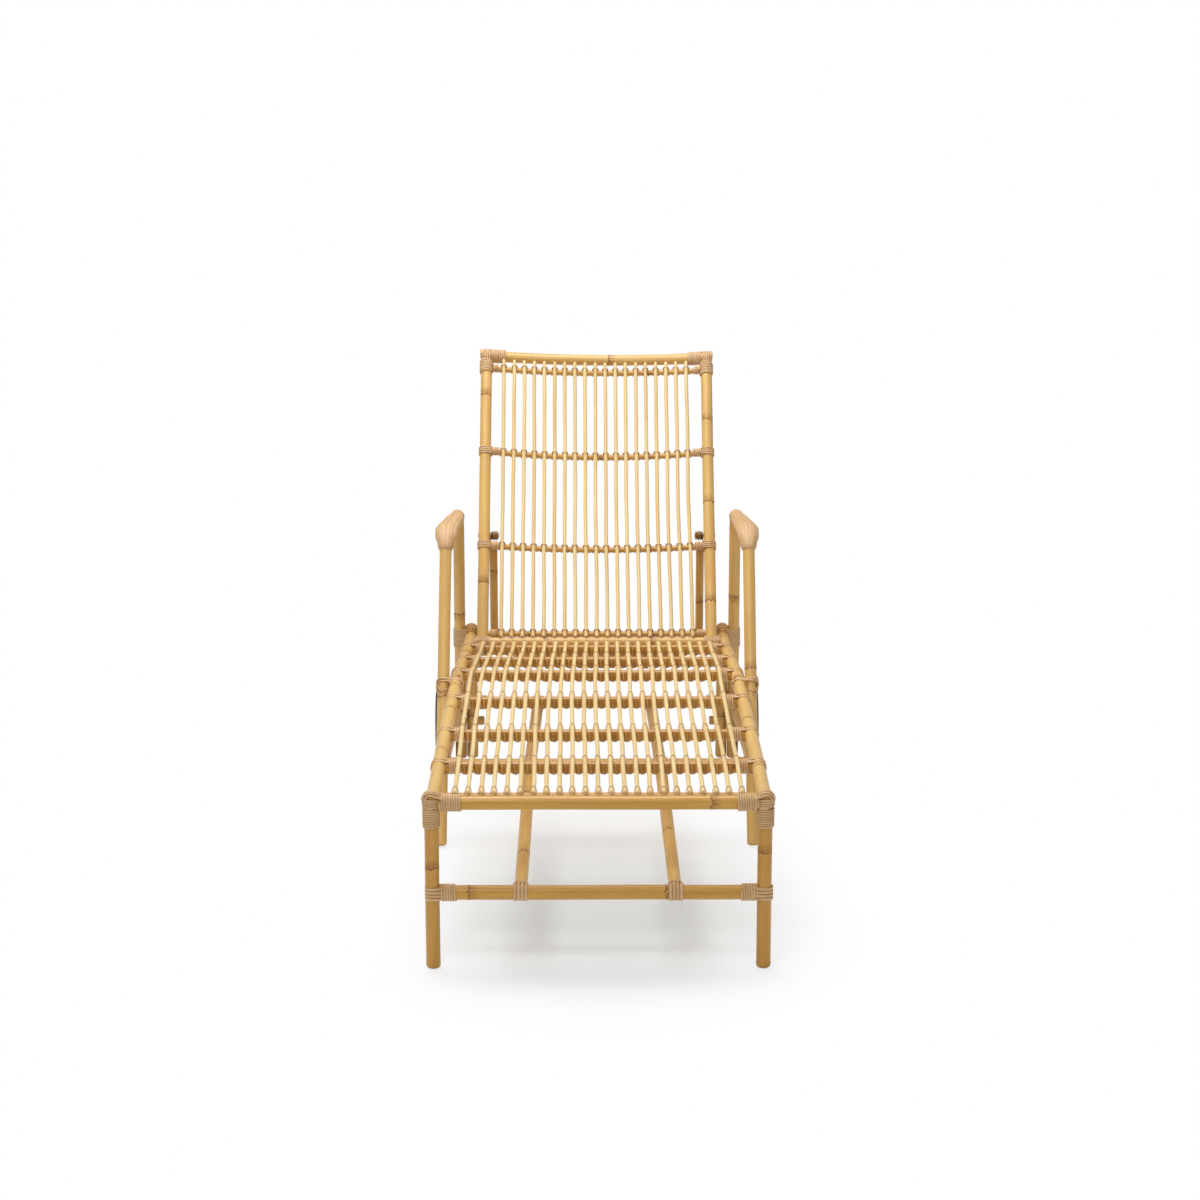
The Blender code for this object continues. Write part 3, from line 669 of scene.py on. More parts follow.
def winding(work, start, axis, first, radius, turns, pitch=0.0050):
    """A strip wound side by side round a pole, from start along axis."""
    axis, first = axis.normalized(), first.normalized()
    third = axis.cross(first)
    lift = radius + strip_t * 0.42
    places, ups = [], []
    count = int(turns * turn_steps)
    for k in range(-2, count + 3):
        angle = full_turn * k / turn_steps
        out = first * math.cos(angle) + third * math.sin(angle)
        inside = 0.0009 * max(0, -k, k - count)
        wobble = 0.0003 * wander(k * 0.11, turns + start.x * 40, 1)
        places.append(start + axis * (pitch * k / turn_steps + wobble)
                      + out * (lift - inside))
        ups.append(out)
    strip(work, places, ups)


# %% [markdown]
# ## The tie of a tee joint
# Where one pole butts against another, strips are hooked round the back of the
# through pole like hairpins, with both legs lying on the butted pole. More turns round
# the butted pole then hold the legs down. One function ties every tee of the bed:
# braces, stretchers, cross rails and the rails of the back.

# %% Tie a tee
tee_arc = 16


def tee(work, centre, through, branch, through_r, branch_r, offsets, reach, turns, gap,
        pitch=0.0050, converge=0.0, section=wide_section):
    """centre is on the through pole's axis; branch points along the butted pole."""
    through, branch = through.normalized(), branch.normalized()
    normal = through.cross(branch).normalized()
    lift = strip_t * 0.35
    for offset in offsets:
        path = []
        for share in (1.0, 0.85, 0.62):
            close = offset * (1 - converge * share)
            inset = min(abs(close), branch_r * 0.96)
            on_branch = math.sqrt(branch_r ** 2 - inset ** 2) + lift
            dip = 0.0014 if share == 1.0 else 0.0
            path.append((reach * share, -on_branch + dip, close))
        path.append((through_r * 1.12, min(path[-1][1], -through_r * 0.84),
                     offset * (1 - converge * 0.4)))
        arc = [(a, b, offset) for a, b in
               arc_points((0, 0), through_r + lift, -math.pi / 2 + 0.35,
                          -full_turn * 0.75 - 0.35, tee_arc)]
        path = path + arc + [(a, -b, c) for a, b, c in reversed(path)]
        places = [centre + branch * a + normal * b + through * c for a, b, c in path]
        ups = [(branch * min(a, 0.0) + normal * b).normalized()
               + (through * (c / branch_r * 0.8) if a > 0.5 * through_r else through * 0)
               for a, b, c in path]
        strip(work, places, ups, section)
    if turns:
        start = centre + branch * (through_r + gap)
        winding(work, start, branch, normal, branch_r + 0.0008, turns, pitch)


# %% [markdown]
# ## The legs and the foot end
# Each front leg stands on a thin foot cap, a little wider than the pole, and its top
# is rounded like a dome inside the corner's winding.

# %% Front legs


def leg_widths(share):
    """The foot cap is a step near the floor."""
    return 1.022 if share * leg_top < foot_cap else 1.0


for side, sign, nodes in (("left", -1, (0.211,)), ("right", 1, (0.243,))):
    place = sign * leg_x - 0.0012
    pole(f"front_leg_{side}", [bed(place, 0, 0), bed(place, 0, leg_top)],
         pole_r + 0.0004, nodes, tone=0.25, end_round=0.007, skin=painted_shade_cane,
         up_hint=headward, widths=leg_widths)

# %% Front rail and stretcher
reach = leg_x - 0.012
front_rail_z, stretcher_z = 0.3446, 0.158
pole("front_rail", span(reach, 0, front_rail_z), pole_r, (0.540,), skin=painted_shade_cane)
pole("front_stretcher", span(reach, 0, stretcher_z), pole_r + 0.0007, (0.060, 0.452),
     tone=0.10, skin=painted_shade_cane)

# %% Side rails, which draw in and fall towards the head
for side, sign, nodes in (("left", -1, (0.33, 0.66, 0.86, 1.18)),
                          ("right", 1, (0.20, 0.57, 0.93, 1.22))):
    stops = [0.010] + [0.05 * k for k in range(1, 28)] + [rail_end]
    pole(f"side_rail_{side}", [bed(sign * rail_x(d), d, rail_z(d)) for d in stops],
         pole_r, nodes, tone=-0.20, end_round=0.010)

# %% [markdown]
# ## Arm hoops
# Each arm is one long pole bent twice over steam: a raked front post, the arm and a
# straight rear post. Lengthwise canes flank the arm and fan out into a flat pad,
# widest just behind the front bend, and all of it is wrapped in peel. The pad's
# section is a flat oval with a ridge for each cane.

# %% The hoop's line
arm_front, arm_rear = 0.652, 0.636
fall = math.atan2(arm_front - arm_rear, rear_post - post_y(arm_front))
rake = math.atan(post_rake)
front_bend, rear_bend = 0.070, 0.055


def hoop_points():
    run = front_bend * math.tan((math.pi / 2 - rake + fall) / 2)
    front = (post_y(arm_front) - run * math.sin(rake) + front_bend * math.cos(rake),
             arm_front - run * math.cos(rake) - front_bend * math.sin(rake))
    drop = rear_bend * math.tan((math.pi / 2 - fall) / 2)
    rear = (rear_post - rear_bend, arm_rear - drop)
    path = [(mid_post_x, post_y(0.007), 0.007)]
    path += [(mid_post_x, y, z) for y, z in
             arc_points(front, front_bend, math.pi - rake, math.pi / 2 - fall, 16)]
    path += [(rear_post_x, y, z) for y, z in
             arc_points(rear, rear_bend, math.pi / 2 - fall, 0, 16)]
    path.append((rear_post_x, rear_post, 0.012))
    return path, front[1] + front_bend * math.sin(rake)


# %% Arm hoops and their pads
pad_section = []
pad_corners, half_ridges = 72, 8
for k in range(pad_corners):
    angle = full_turn * k / pad_corners
    ridge = 1 + 0.035 * abs(math.sin(angle * half_ridges)) ** 0.7
    pad_section.append((math.cos(angle), math.sin(angle), ridge))


def pad(side, sign, points, pad_start):
    walked, total = walk(points, 0.005)
    covered = [(d, place) for d, place in walked if place.z > pad_start - 0.001
               and (place.z > 0.6 or place.y < 0)
               and place.y <= foot_y + rear_post - 0.0115]
    heads = directions([place for _, place in covered])
    start, stop = covered[0][0], covered[-1][0]
    work = new_work()
    grain = work.verts.layers.float_vector["grain"]
    stations = []
    up = across
    for (distance, place), head in zip(covered, heads):
        up = (up - head * up.dot(head)).normalized()
        edge = min(distance - start, stop - distance)
        thick = 0.0145 + 0.0016 * min(1.0, edge / 0.010) ** 0.5
        wide = level(distance - start, ((0, 0.0150), (0.012, 0.0185), (0.045, 0.0250),
                                        (0.085, 0.0263), (0.20, 0.0225),
                                        (stop - start - 0.05, 0.0175),
                                        (stop - start, 0.0144)))
        stations.append((place, head.cross(up), up, thick, distance, wide))
    steps, corners = len(stations) - 1, len(pad_section)
    made = bmesh.ops.create_grid(work, x_segments=steps, y_segments=corners, size=1.0)
    for vert in made["verts"]:
        step = round((vert.co.x + 1) / 2 * steps)
        corner = round((vert.co.y + 1) / 2 * corners) % corners
        place, out, broad, thick, distance, wide = stations[step]
        a, b, ridge = pad_section[corner]
        reach = 1.0 if 0 < step < steps else 0.93
        vert.co = place + out * (a * thick * ridge * reach) + broad * (
            b * wide * (1 + (ridge - 1) * 0.5) * reach)
        vert[grain] = (a * thick * 1.3 + sign, b * wide * 1.3, distance)
        vert[work.verts.layers.float["node_gap"]] = no_node
        # Painted shade: the grooves between the ridges are painted darker and the ridges
        # lighter.
        vert[work.verts.layers.float["tone"]] = 0.38 - (ridge - 1.02) * 16
    bmesh.ops.remove_doubles(work, verts=work.verts, dist=weld)
    finish_piece(f"arm_pad_{side}", work, peel, "frame", sharp=70)
    print("arm pad", side, "covers", round(stop - start, 3), "m of", round(total, 3))


for side, sign in sides:
    nodes = (0.345, 1.265) if side == "left" else (0.41, 1.22)
    raw, pad_start = hoop_points()
    points = [bed(sign * x - (0.0018 if y < 1.0 else 0.0), y, z) for x, y, z in raw]
    pole(f"arm_hoop_{side}", points, pole_r - 0.0002, nodes, tone=-0.05,
         end_round=0.005, up_hint=across)
    pad(side, sign, points, pad_start)

# %% [markdown]
# ## The lower frame and the rear
# Stretchers join the legs near the floor, and two pairs of long braces run from the
# foot to the head under the bed.

# %% Stretchers, braces, rear legs and rear rail
brace_x = {"left": (-0.1560, -0.1540, -0.1465), "right": (0.153, 0.143, 0.134)}
reach = rear_leg_x - 0.012
mid_y = post_y(mid_z)
pole("mid_stretcher", span(mid_post_x - 0.012, mid_y, mid_z), pole_r, (0.22, 0.51),
     tone=0.25)
pole("rear_stretcher", span(reach, rear_post, rear_z), pole_r, (0.15, 0.42), tone=0.3)
pole("rear_rail", span(reach, rear_post, rear_rail_z), pole_r, (0.31,), tone=0.3)
for side, sign in sides:
    front_x, mid_x, rear_x = brace_x[side]
    pole(f"rear_leg_{side}", [bed(sign * rear_leg_x, rear_post, z)
                              for z in (0.012, rear_leg_top)],
         pole_r, (0.11, 0.21), tone=-0.1, end_round=0.008, up_hint=headward)
    pole(f"side_stretcher_{side}", [bed(sign * mid_post_x, mid_y + 0.020, mid_z),
                                    bed(sign * rear_post_x, rear_post - 0.012, mid_z)],
         pole_r, (0.18, 0.40), tone=0.2)
    pole(f"front_brace_{side}", [bed(front_x, 0.012, stretcher_z),
                                 bed(mid_x, mid_y - 0.012, mid_z)],
         pole_r - 0.0006, (0.197 if sign < 0 else 0.334, 0.58), tone=-0.05)
    pole(f"rear_brace_{side}", [bed(mid_x, mid_y + 0.012, mid_z),
                                bed(rear_x, rear_post - 0.012, rear_z)],
         pole_r, (0.20,), tone=0.2)

# %% [markdown]
# ## Seat rails and slats
# Seven cross rails butt against the side rails. Twenty-three slats of core cane lie
# on them. Core cane is the vine's peeled heart: paler, without nodes, and bendy, so
# each slat wanders a little, and the row draws in towards the head like the rails.

# %% Cross rails


def seat_rail_z(distance):
    return rail_z(distance) - 0.0025 - 0.0042 * (1 - ease(distance / 0.2))


# Painted shade: the cross rails lie under the slats, so they get the deeper cane colour
# and a deeper tone.
for index, distance in enumerate(seat_rails):
    ends = span(rail_x(distance) - 0.011, distance, seat_rail_z(distance))
    node = 0.08 + 0.075 * (index * 3 % 7)
    pole(f"seat_rail_{index + 1}", ends, cross_r, (node, node + 0.29), tone=0.35,
         skin=painted_shade_cane)

# %% Lay a slat
slat_section = circle_section(14)


def lay_slat(work, walked, out, seed, taper, tone, offset):
    """One slat through (distance, place) pairs. out points away from the rails."""
    heads = directions([place for _, place in walked])
    stations = []
    for (distance, place), head in zip(walked, heads):
        up = (out - head * out.dot(head)).normalized()
        scale = slat_r * (1.02 + 0.04 * wander(distance, seed, 20)) * taper(distance)
        stations.append((place, head.cross(up), up, scale, distance, no_node))
    roll(work, stations, slat_section, tone=tone, offset=offset)


# %% Where the seat slats lie
row_pitch = ((0.0, 0.0259), (0.5, 0.0261), (0.95, 0.0262), (1.28, 0.0250))
row_shift = ((0.0, -0.0008), (0.3, -0.0018), (0.56, -0.0044), (0.88, -0.0050),
             (1.06, -0.0032), (1.28, -0.0008))


def slat_z(distance):
    return seat_rail_z(distance) + cross_r + slat_r + 0.0003


def slat_x(index, distance):
    """Where a seat slat lies: its place in the row and a small wander."""
    x = (index - seat_count // 2) * level(distance, row_pitch)
    x += level(distance, row_shift)
    return x + 0.0016 * wander(distance, index + 3, 5)


# %% Seat slats
work = new_work()
slat_steps = 84
for index in range(seat_count):
    front = 0.0235 + 0.002 * wander(1, index)
    rear = 1.272 + 0.003 * wander(2, index)
    walked = []
    for k in range(slat_steps + 1):
        distance = front + (rear - front) * k / slat_steps
        near = min(abs(distance - stop) for stop in seat_rails)
        sag = 0.0010 * min(1.0, near / 0.06)
        walked.append((distance, bed(slat_x(index, distance), distance,
                                     slat_z(distance) - sag)))
    lay_slat(work, walked, upward, index,
             lambda d: 0.90 if min(d - front, rear - d) < 0.0008 else 1.0,
             0.30 * wander(0, index * 3.1), index)
seat = finish_piece("seat_slats_cane", work, core_cane, "frame",
                    ("seat_slats",), sharp=60)
print("seat slats have", len(seat.data.polygons), "faces")

# %% [markdown]
# ## The back
# The back is a frame of its own: two uprights and a bowed top pole, with four thin
# bowed rails behind nineteen slats. Its bottom pole turns between the side rails.

# %% Poles of the back


def bowed(along, half, steps=28):
    """A line across the back that follows its dish."""
    stops = [-half + 2 * half * k / steps for k in range(steps + 1)]
    return [back(x, along, -bow(x, along)) for x in stops]


pole("back_top_pole", bowed(back_length, upright_x + 0.014), pole_r - 0.0003, (0.325,),
     body="backrest", end_round=0.008, sway=0.0)
for side, sign, nodes in (("left", -1, (0.145, 0.655)),
                          ("right", 1, (0.095, 0.36, 0.585))):
    pole(f"back_upright_{side}", [back(sign * upright_x, along)
                                  for along in (0.010, back_length - 0.011)],
         pole_r, nodes, body="backrest", tone=-0.05, up_hint=across)
pole("back_hinge_pole", [hinge - across * 0.2975, hinge + across * 0.2975], 0.013,
     (0.17, 0.43), body="backrest", tone=-0.10, sway=0.0002)
for index, along in enumerate(back_rails):
    pole(f"back_rail_{index + 1}", bowed(along, upright_x - 0.011), thin_r,
         (0.10 + 0.09 * index, 0.40), body="backrest", tone=0.35, sway=0.0002)

# %% Back slats
back_pitch = ((0.0, 0.0260), (0.2, 0.0259), (0.4, 0.0257), (0.8, 0.02565))
back_shift = ((0.0, -0.0001), (0.10, -0.0004), (0.32, -0.0024), (0.55, -0.0026),
              (0.80, -0.0035))
lift = thin_r + slat_r + 0.0003


def back_slat_x(index, along):
    x = (index - back_count // 2) * level(along, back_pitch)
    x += level(along, back_shift)
    return x + 0.0012 * wander(along, index + 60, 6)


def round_tip(along):
    """Shrinks a back slat to a round tip in its last 5 mm."""
    if along <= slat_high - 0.005:
        return 1.0
    return math.sqrt(max(0.02, 1 - ((along - slat_high + 0.005) / 0.005) ** 2))


work = new_work()
slat_low, slat_high = 0.0119, 0.7645
stops = [slat_low + (slat_high - slat_low) * k / 64 for k in range(64)] + [slat_high]
stops = sorted(stops + [slat_high - 0.0015, slat_high - 0.003, slat_high - 0.0048])
for index in range(back_count):
    walked = []
    for along in stops:
        x = back_slat_x(index, along)
        walked.append((along, back(x, along, lift - bow(x, along))))
    lay_slat(work, walked, facing, index + 9, round_tip,
             0.15 + 0.30 * wander(1, index * 2.3), index + 40)
back_piece = finish_piece("back_slats_cane", work, core_cane, "backrest",
                          ("back_slats",), sharp=60)
print("back slats have", len(back_piece.data.polygons), "faces")

# %% [markdown]
# ## Slat ties
# One long strip binds all the slats to a rail. It lies along the rail's upper front
# edge, arches over each slat at the rail's far side and swings round under the rail
# in every gap, so that the rail's lower edge looks scalloped. The arches and the
# swings are separate short strips here, with their ends hidden under the runner.

# %% Seat ties


def mirrored(half, middle):
    """A line of points that is the same on both sides of its middle point."""
    return [*half, middle, *((-u, b, c) for u, b, c in reversed(half))]


work, swings = new_work(), new_work()
swing_section = flat_section(0.0054, 0.0026, 6)
for distance in seat_rails:
    height = seat_rail_z(distance)
    rise = slat_z(distance) - height
    top = rise + slat_r + 0.0008
    arch = mirrored([(-0.0085, -0.0085, 0.0092), (-0.0070, -0.0030, 0.0124),
                     (-0.0062, 0.0035, 0.0132), (-0.0056, 0.0085, rise - 0.002),
                     (-0.0040, 0.0108, top - 0.0017)], (0.0, 0.0116, top + 0.0002))
    for index in range(seat_count):
        x = slat_x(index, distance)
        places, ups = [], []
        for u, y, z in arch:
            places.append(bed(x + u, distance + y, height + z))
            ups.append(Vector((u * 1.5, 0.002, z - rise * 0.6 + 0.004)))
        strip(work, places, ups, small_section, edge=0.1)
    for index in range(seat_count - 1):
        middle = (slat_x(index, distance) + slat_x(index + 1, distance)) / 2
        for turn in (-1, 0, 1):
            places, ups = [], []
            for k in range(12):
                angle = math.radians(44 + 212 * k / 11)
                out = Vector((0, -math.sin(angle), math.cos(angle)))
                proud = 0.0025 if turn == 0 else 0.0010
                places.append(bed(middle + turn * 0.0049 + 0.0022 * (k / 5.5 - 1),
                                  distance, height) + out * (cross_r + proud))
                ups.append(out + across * turn * 0.35)
            # Painted shade: the side turns lie lower against the rail and are painted
            # darker than the middle one.
            strip(swings, places, ups, swing_section, tone=0.05 + 0.30 * abs(turn))
    ends = rail_x(distance) - 0.030
    places, ups = [], []
    out = Vector((0, -math.sin(math.radians(40)), math.cos(math.radians(40))))
    for k in range(61):
        x = -ends + 2 * ends * k / 60
        places.append(bed(x, distance, height) + out * (cross_r + 0.0012))
        ups.append(out)
    strip(work, places, ups, small_section, tone=-0.1)
bound("seat_ties", work)
bound("seat_rail_swings", swings, skin=shaded_peel)

# %% Back ties
top = lift + slat_r + 0.0008
arch = mirrored([(-0.0085, -0.0070, 0.0030), (-0.0080, -0.0082, -0.0010),
                 (-0.0072, -0.0040, -0.0074), (-0.0066, 0.0045, -0.0070),
                 (-0.0062, 0.0090, 0.0000), (-0.0060, 0.0092, 0.0055),
                 (-0.0054, 0.0082, 0.0105), (-0.0036, 0.0070, top - 0.0018)],
                (0.0, 0.0064, top))
work = new_work()
for along in back_rails:
    for index in range(back_count):
        x = back_slat_x(index, along)
        places, ups = [], []
        for u, a, out in arch:
            places.append(back(x + u, along + a, out - bow(x, along)))
            ups.append(across * (u * 0.9) + slope * (a * 0.8) + facing * (out - 0.002))
        strip(work, places, ups, small_section, edge=0.1)
bound("back_ties", work, "backrest")

# %% [markdown]
# ## Windings at the corners
# The foot corners are wound all over: turns round the rail, turns down the leg, and
# strips that arch over the leg's dome from one to the other. The back's top corners
# are wound the same way.

# %% Foot corners
for side, sign in sides:
    work = new_work()
    inward = Vector((-sign, 0, 0))
    corner = bed(sign * leg_x - 0.0012, 0, 0)
    winding(work, bed(sign * (leg_x - 0.0165), 0, front_rail_z), inward, -headward,
            pole_r + 0.0006, 8.6, close_pitch)
    winding(work, corner + upward * 0.336, -upward, -headward, pole_r + 0.0008, 8.2,
            close_pitch)
    for row in range(4):
        height = 0.3390 + strip_w * row
        radius = pole_r + 0.0026 - max(0.0, height - dome_z) ** 2 * 45
        places, ups = [], []
        for k in range(23):
            angle = math.radians(-62 + 200 * k / 22)
            out = (-headward * math.cos(angle) - inward * math.sin(angle)).normalized()
            dip = 0.0022 if k in (0, 22) else 0.0
            places.append(corner + out * (radius - dip)
                          + upward * (height + 0.0045 * (k / 22 - 0.3)))
            ups.append(out + upward * max(0.0, height - 0.350) * 50)
        strip(work, places, ups)
    for row in range(7):
        y = -0.0138 + 0.0046 * row
        radius = math.sqrt(0.0178 ** 2 - y ** 2)
        path = [(-radius * 0.96, 0.3460), (-radius, 0.3500)]
        path += arc_points((0, dome_z), radius, math.pi * 0.95, math.pi * 0.28, 10)
        path += [(0.0170, 0.3640 - abs(y) * 0.45), (0.0215, 0.3605 - abs(y) * 0.45)]
        places = [corner + inward * a + upward * b + headward * y for a, b in path]
        ups = [(inward * a + upward * max(b - 0.350, 0.0) + headward * y).normalized()
               for a, b in path]
        strip(work, places, ups)
    bound(f"corner_winding_{side}", work,
          replaced=(f"corner_rail_lashing_{side}", f"corner_leg_lashing_{side}"))

# %% Stretchers, braces and legs
four_wide = (-0.0108, -0.0036, 0.0036, 0.0108)
post_line = Vector((0, post_rake, 1))
for side, sign in sides:
    work = new_work()
    inward = Vector((-sign, 0, 0))
    front_x, mid_x, rear_x = brace_x[side]
    post_x = sign * mid_post_x
    for place, through, branch, thicker, reach, turns, gap in (
            ((sign * leg_x, 0, stretcher_z), upward, inward, 0, 0.028, 6.0, 0.0025),
            ((front_x, 0, stretcher_z), across, headward, 0.0007, 0.024, 1.6, 0.006),
            ((mid_x, mid_y, mid_z), across, -headward, 0, 0.024, 1.6, 0.006),
            ((mid_x, mid_y, mid_z), across, headward, 0.001, 0.024, 1.6, 0.006),
            ((rear_x, rear_post, rear_z), across, -headward, 0, 0.024, 1.6, 0.006),
            ((post_x, mid_y, mid_z), post_line, inward, 0, 0.024, 3.6, 0.0045),
            ((sign * rear_leg_x, rear_post, rear_z), upward, inward, 0, 0.024, 3.6,
             0.0045),
            ((post_x, mid_y, mid_z), post_line, headward, 0.001, 0.030, 2.6, 0.011),
            ((sign * rear_post_x, rear_post, mid_z), upward, -headward, 0, 0.024, 2.6,
             0.0045)):
        tee(work, bed(*place), through, branch, pole_r + thicker, pole_r, four_wide,
            reach, turns, gap)
    bound(f"lower_ties_{side}", work, replaced=(f"stretcher_lashing_{side}",))

# %% Cross rails to side rails
for side, sign in sides:
    work = new_work()
    inward = Vector((-sign, 0, 0))
    lean = Vector((0, 1, -0.02 / 1.39))
    for distance in seat_rails[1:]:
        tee(work, bed(sign * rail_x(distance), distance, rail_z(distance) - 0.0012), lean,
            inward, pole_r, cross_r, (-0.0125, -0.0080, 0.0080, 0.0125), 0.036, 4.2,
            0.0060, converge=0.75, section=strip_section)
    bound(f"seat_rail_ties_{side}", work)

# %% Rear posts and the leg's dome
for side, sign in sides:
    work = new_work()
    inward = Vector((-sign, 0, 0))
    post = bed(sign * rear_post_x, rear_post, 0.3245)
    for row in range(10):
        path = [(0.0225, -0.0132), (0.0165, -0.0146)]
        path += arc_points((0, 0), pole_r + 0.0008, -math.pi / 2, -math.pi * 1.5, 14)
        path += [(0.0165, 0.0146), (0.0286, 0.0148)]
        path += arc_points((0.0286, 0), pole_r + 0.0008, math.pi / 2 - 0.2, -0.3, 5)
        places, ups = [], []
        for a, b in path:
            places.append(post + inward * a + headward * b
                          + upward * (strip_w * row - 0.0225))
            ups.append((inward * (a if a < 0 else max(0.0, a - 0.0286))
                        + headward * b).normalized())
        strip(work, places, ups)
    dome = bed(sign * rear_leg_x, rear_post, 0)
    for row in range(6):
        y = -0.0118 + strip_w * row
        radius = math.sqrt(0.0158 ** 2 - y ** 2)
        path = [(-radius, 0.332)] + arc_points((0, 0.3415), radius, math.pi, 0, 12)
        path += [(radius, 0.328), (radius - 0.001, 0.320)]
        places = [dome + inward * a + upward * b + headward * y for a, b in path]
        ups = [(inward * a + upward * max(b - 0.340, 0.0)).normalized() for a, b in path]
        strip(work, places, ups)
    bound(f"rear_corner_winding_{side}", work, replaced=(f"post_pair_lashing_{side}",))

# %% Arm ties
for side, sign in sides:
    work = new_work()
    height = rail_z(post_y(0.338))
    distance = post_y(height)
    post_dir = post_line.normalized()
    rail_dir = Vector((0, 1, -0.0144)).normalized()
    middle = bed(sign * (rail_x(distance) + mid_post_x) / 2, distance, height)
    half = (mid_post_x - rail_x(distance)) / 2
    outward = Vector((sign, 0, 0))
    for tilt, shift in ((1, -0.0026), (1, 0.0026), (-1, -0.0026), (-1, 0.0026)):
        tilt_dir = (post_dir + rail_dir * tilt).normalized()
        normal = outward.cross(tilt_dir).normalized()
        places, ups = [], []
        for k in range(33):
            angle = full_turn * k / 30 + 0.6
            share = max(-1.0, min(1.0, math.cos(angle) * 3))
            pole_axis = post_dir if share > 0 else rail_dir
            stretch = 1 / abs(pole_axis.dot(normal))
            blend = abs(share)
            radius = pole_r + 0.0012 + (0.0012 if shift > 0 else 0.0)
            slide = shift * pole_axis.dot(tilt_dir) / pole_axis.dot(normal) * blend
            places.append(middle + normal * shift
                          + outward * (half * share + radius * math.cos(angle))
                          + tilt_dir * (radius * (1 + (stretch - 1) * blend)
                                        * math.sin(angle) + slide))
            ups.append(outward * math.cos(angle) + tilt_dir * math.sin(angle))
        strip(work, places, ups)
    bound(f"arm_winding_{side}", work, replaced=(f"arm_tie_{side}",))

# %% Back corners and back rail ends
for side, sign in sides:
    work = new_work()
    inward = Vector((-sign, 0, 0))
    x = upright_x - 0.0112
    bend = (bow(x - 0.035, back_length) - bow(x, back_length)) / 0.035
    winding(work, back(sign * x, back_length, -bow(x, back_length)),
            inward - facing * bend, slope, pole_r + 0.0004, 7.4, close_pitch)
    winding(work, back(sign * upright_x, back_length - 0.0165), -slope, facing,
            pole_r + 0.0006, 6.4, close_pitch)
    corner = back(sign * upright_x, back_length)
    for shift in (-0.0146, -0.0110, -0.0064, -0.0018, 0.0028, 0.0074):
        radius = pole_r + (0.0018 if shift > -0.014 else 0.0006)
        low = -0.020
        side_depth = math.sqrt(radius ** 2 - shift ** 2)
        path = [(low, side_depth - 0.001), (-0.006, side_depth)]
        path += arc_points((0, 0), radius, math.pi / 2, -math.pi / 2, 12)
        path += [(-0.006, -side_depth), (low, -side_depth + 0.001)]
        places = [corner + slope * a + facing * b + inward * shift for a, b in path]
        ups = [(slope * max(a, 0.0) + facing * b).normalized() for a, b in path]
        strip(work, places, ups)
    narrow = (-0.0076, -0.0025, 0.0025, 0.0076)
    for along, turns, offsets in zip(back_rails, (3.4, 4.0, 4.0, 3.0),
                                     ((), narrow, narrow, ())):
        tee(work, back(sign * upright_x, along), slope, inward, pole_r, thin_r,
            offsets, 0.024, turns, 0.0035, pitch=close_pitch, section=strip_section)
    winding(work, hinge - inward * 0.2970, inward, facing, 0.0135, 7.4, close_pitch)
    bound(f"back_winding_{side}", work, "backrest", (f"back_pole_lashing_{side}",))

# %% [markdown]
# ## The prop and its knobs
# The prop is one thin cane bent to a U. Its two tops end in flat tongues that hang on
# bolts through the uprights, each held by a ribbed knob with a dark washer.

# %% Prop
prop_pivot = back(0, 0.283)
prop_half, prop_bend = 0.2561, 0.074
prop_top, bend_z = prop_pivot.z - 0.026, prop_pivot.z - 0.304 + prop_bend
flat = prop_half - prop_bend
outline = [(-prop_half, prop_top)]
outline += arc_points((-flat, bend_z), prop_bend, math.pi, math.pi * 1.5, 12)
outline += arc_points((flat, bend_z), prop_bend, -math.pi / 2, 0, 12)
outline.append((prop_half, prop_top))
pole("prop_cane", [Vector((x, prop_pivot.y, z)) for x, z in outline], 0.0099,
     (0.06, 0.215, 0.46, 0.70, 0.86), body="prop", replaced=("prop_frame",), tone=0.35,
     end_round=0.004, up_hint=headward, sway=0.0003)
for side, sign in sides:
    work = new_work()
    tongue = [(0.0088, 0.35), (0.0078, 0.62), (0.0060, 0.85), (0.003, 0.97),
              (-0.004, 1.0), (-0.014, 1.0), (-0.024, 1.0), (-0.040, 0.9)]
    stations = [(prop_pivot + Vector((sign * 0.2630, 0, rise)), across, headward, share,
                 rise, no_node) for rise, share in tongue]
    roll(work, stations, flat_section(0.003, 0.018, 16), tone=0.4)
    finish_piece(f"prop_tongue_{side}", work, cane, "prop")
    work = new_work()
    inward = Vector((-sign, 0, 0))
    ribs = [(0.0, 0.0070), (0.0001, 0.0088)]
    for rib in range(4):
        start = 0.0004 + rib * 0.0036
        top = (0.0118, 0.0122, 0.0118, 0.0104)[rib]
        ribs += [(start, top - 0.0034), (start + 0.0008, top), (start + 0.0024, top),
                 (start + 0.0031, top - 0.0034)]
    ribs += [(0.0155, 0.0060), (0.0160, 0.0002)]
    lathe(work, prop_pivot - inward * 0.2581, inward, ribs, 40)
    lathe(work, prop_pivot - inward * 0.2936, inward,
          [(0, 0.0002), (0.0002, 0.0048), (0.0012, 0.0064), (0.0030, 0.0070),
           (0.0041, 0.0066), (0.0042, 0.0030), (0.030, 0.0029), (0.0302, 0.0002)], 32)
    finish_piece(f"prop_knob_{side}", work, stained, "backrest",
                 (f"prop_bolt_{side}",))
    turned(f"prop_washer_{side}", prop_pivot - inward * 0.2612, inward,
           [(0, 0.0034), (0.0001, 0.0098), (0.0008, 0.0102), (0.0022, 0.0102),
            (0.0029, 0.0098), (0.0030, 0.0034), (0, 0.0034)], 32, plastic, "backrest")

# %% [markdown]
# ## Wheels
# Two wheels outside the rear posts let one person roll the bed away. From the foot
# only a dark sliver of each shows, so they stay plain: a rubber tyre with a grooved
# tread on a black hub, with a cap on the axle.

# %% Profiles of the wheels, as (place along the axle, radius)
axle_centre = bed(0, rear_post, 0.108)
wheel_width = 0.72


def flipped(half):
    return [(-a, r) for a, r in reversed(half)]


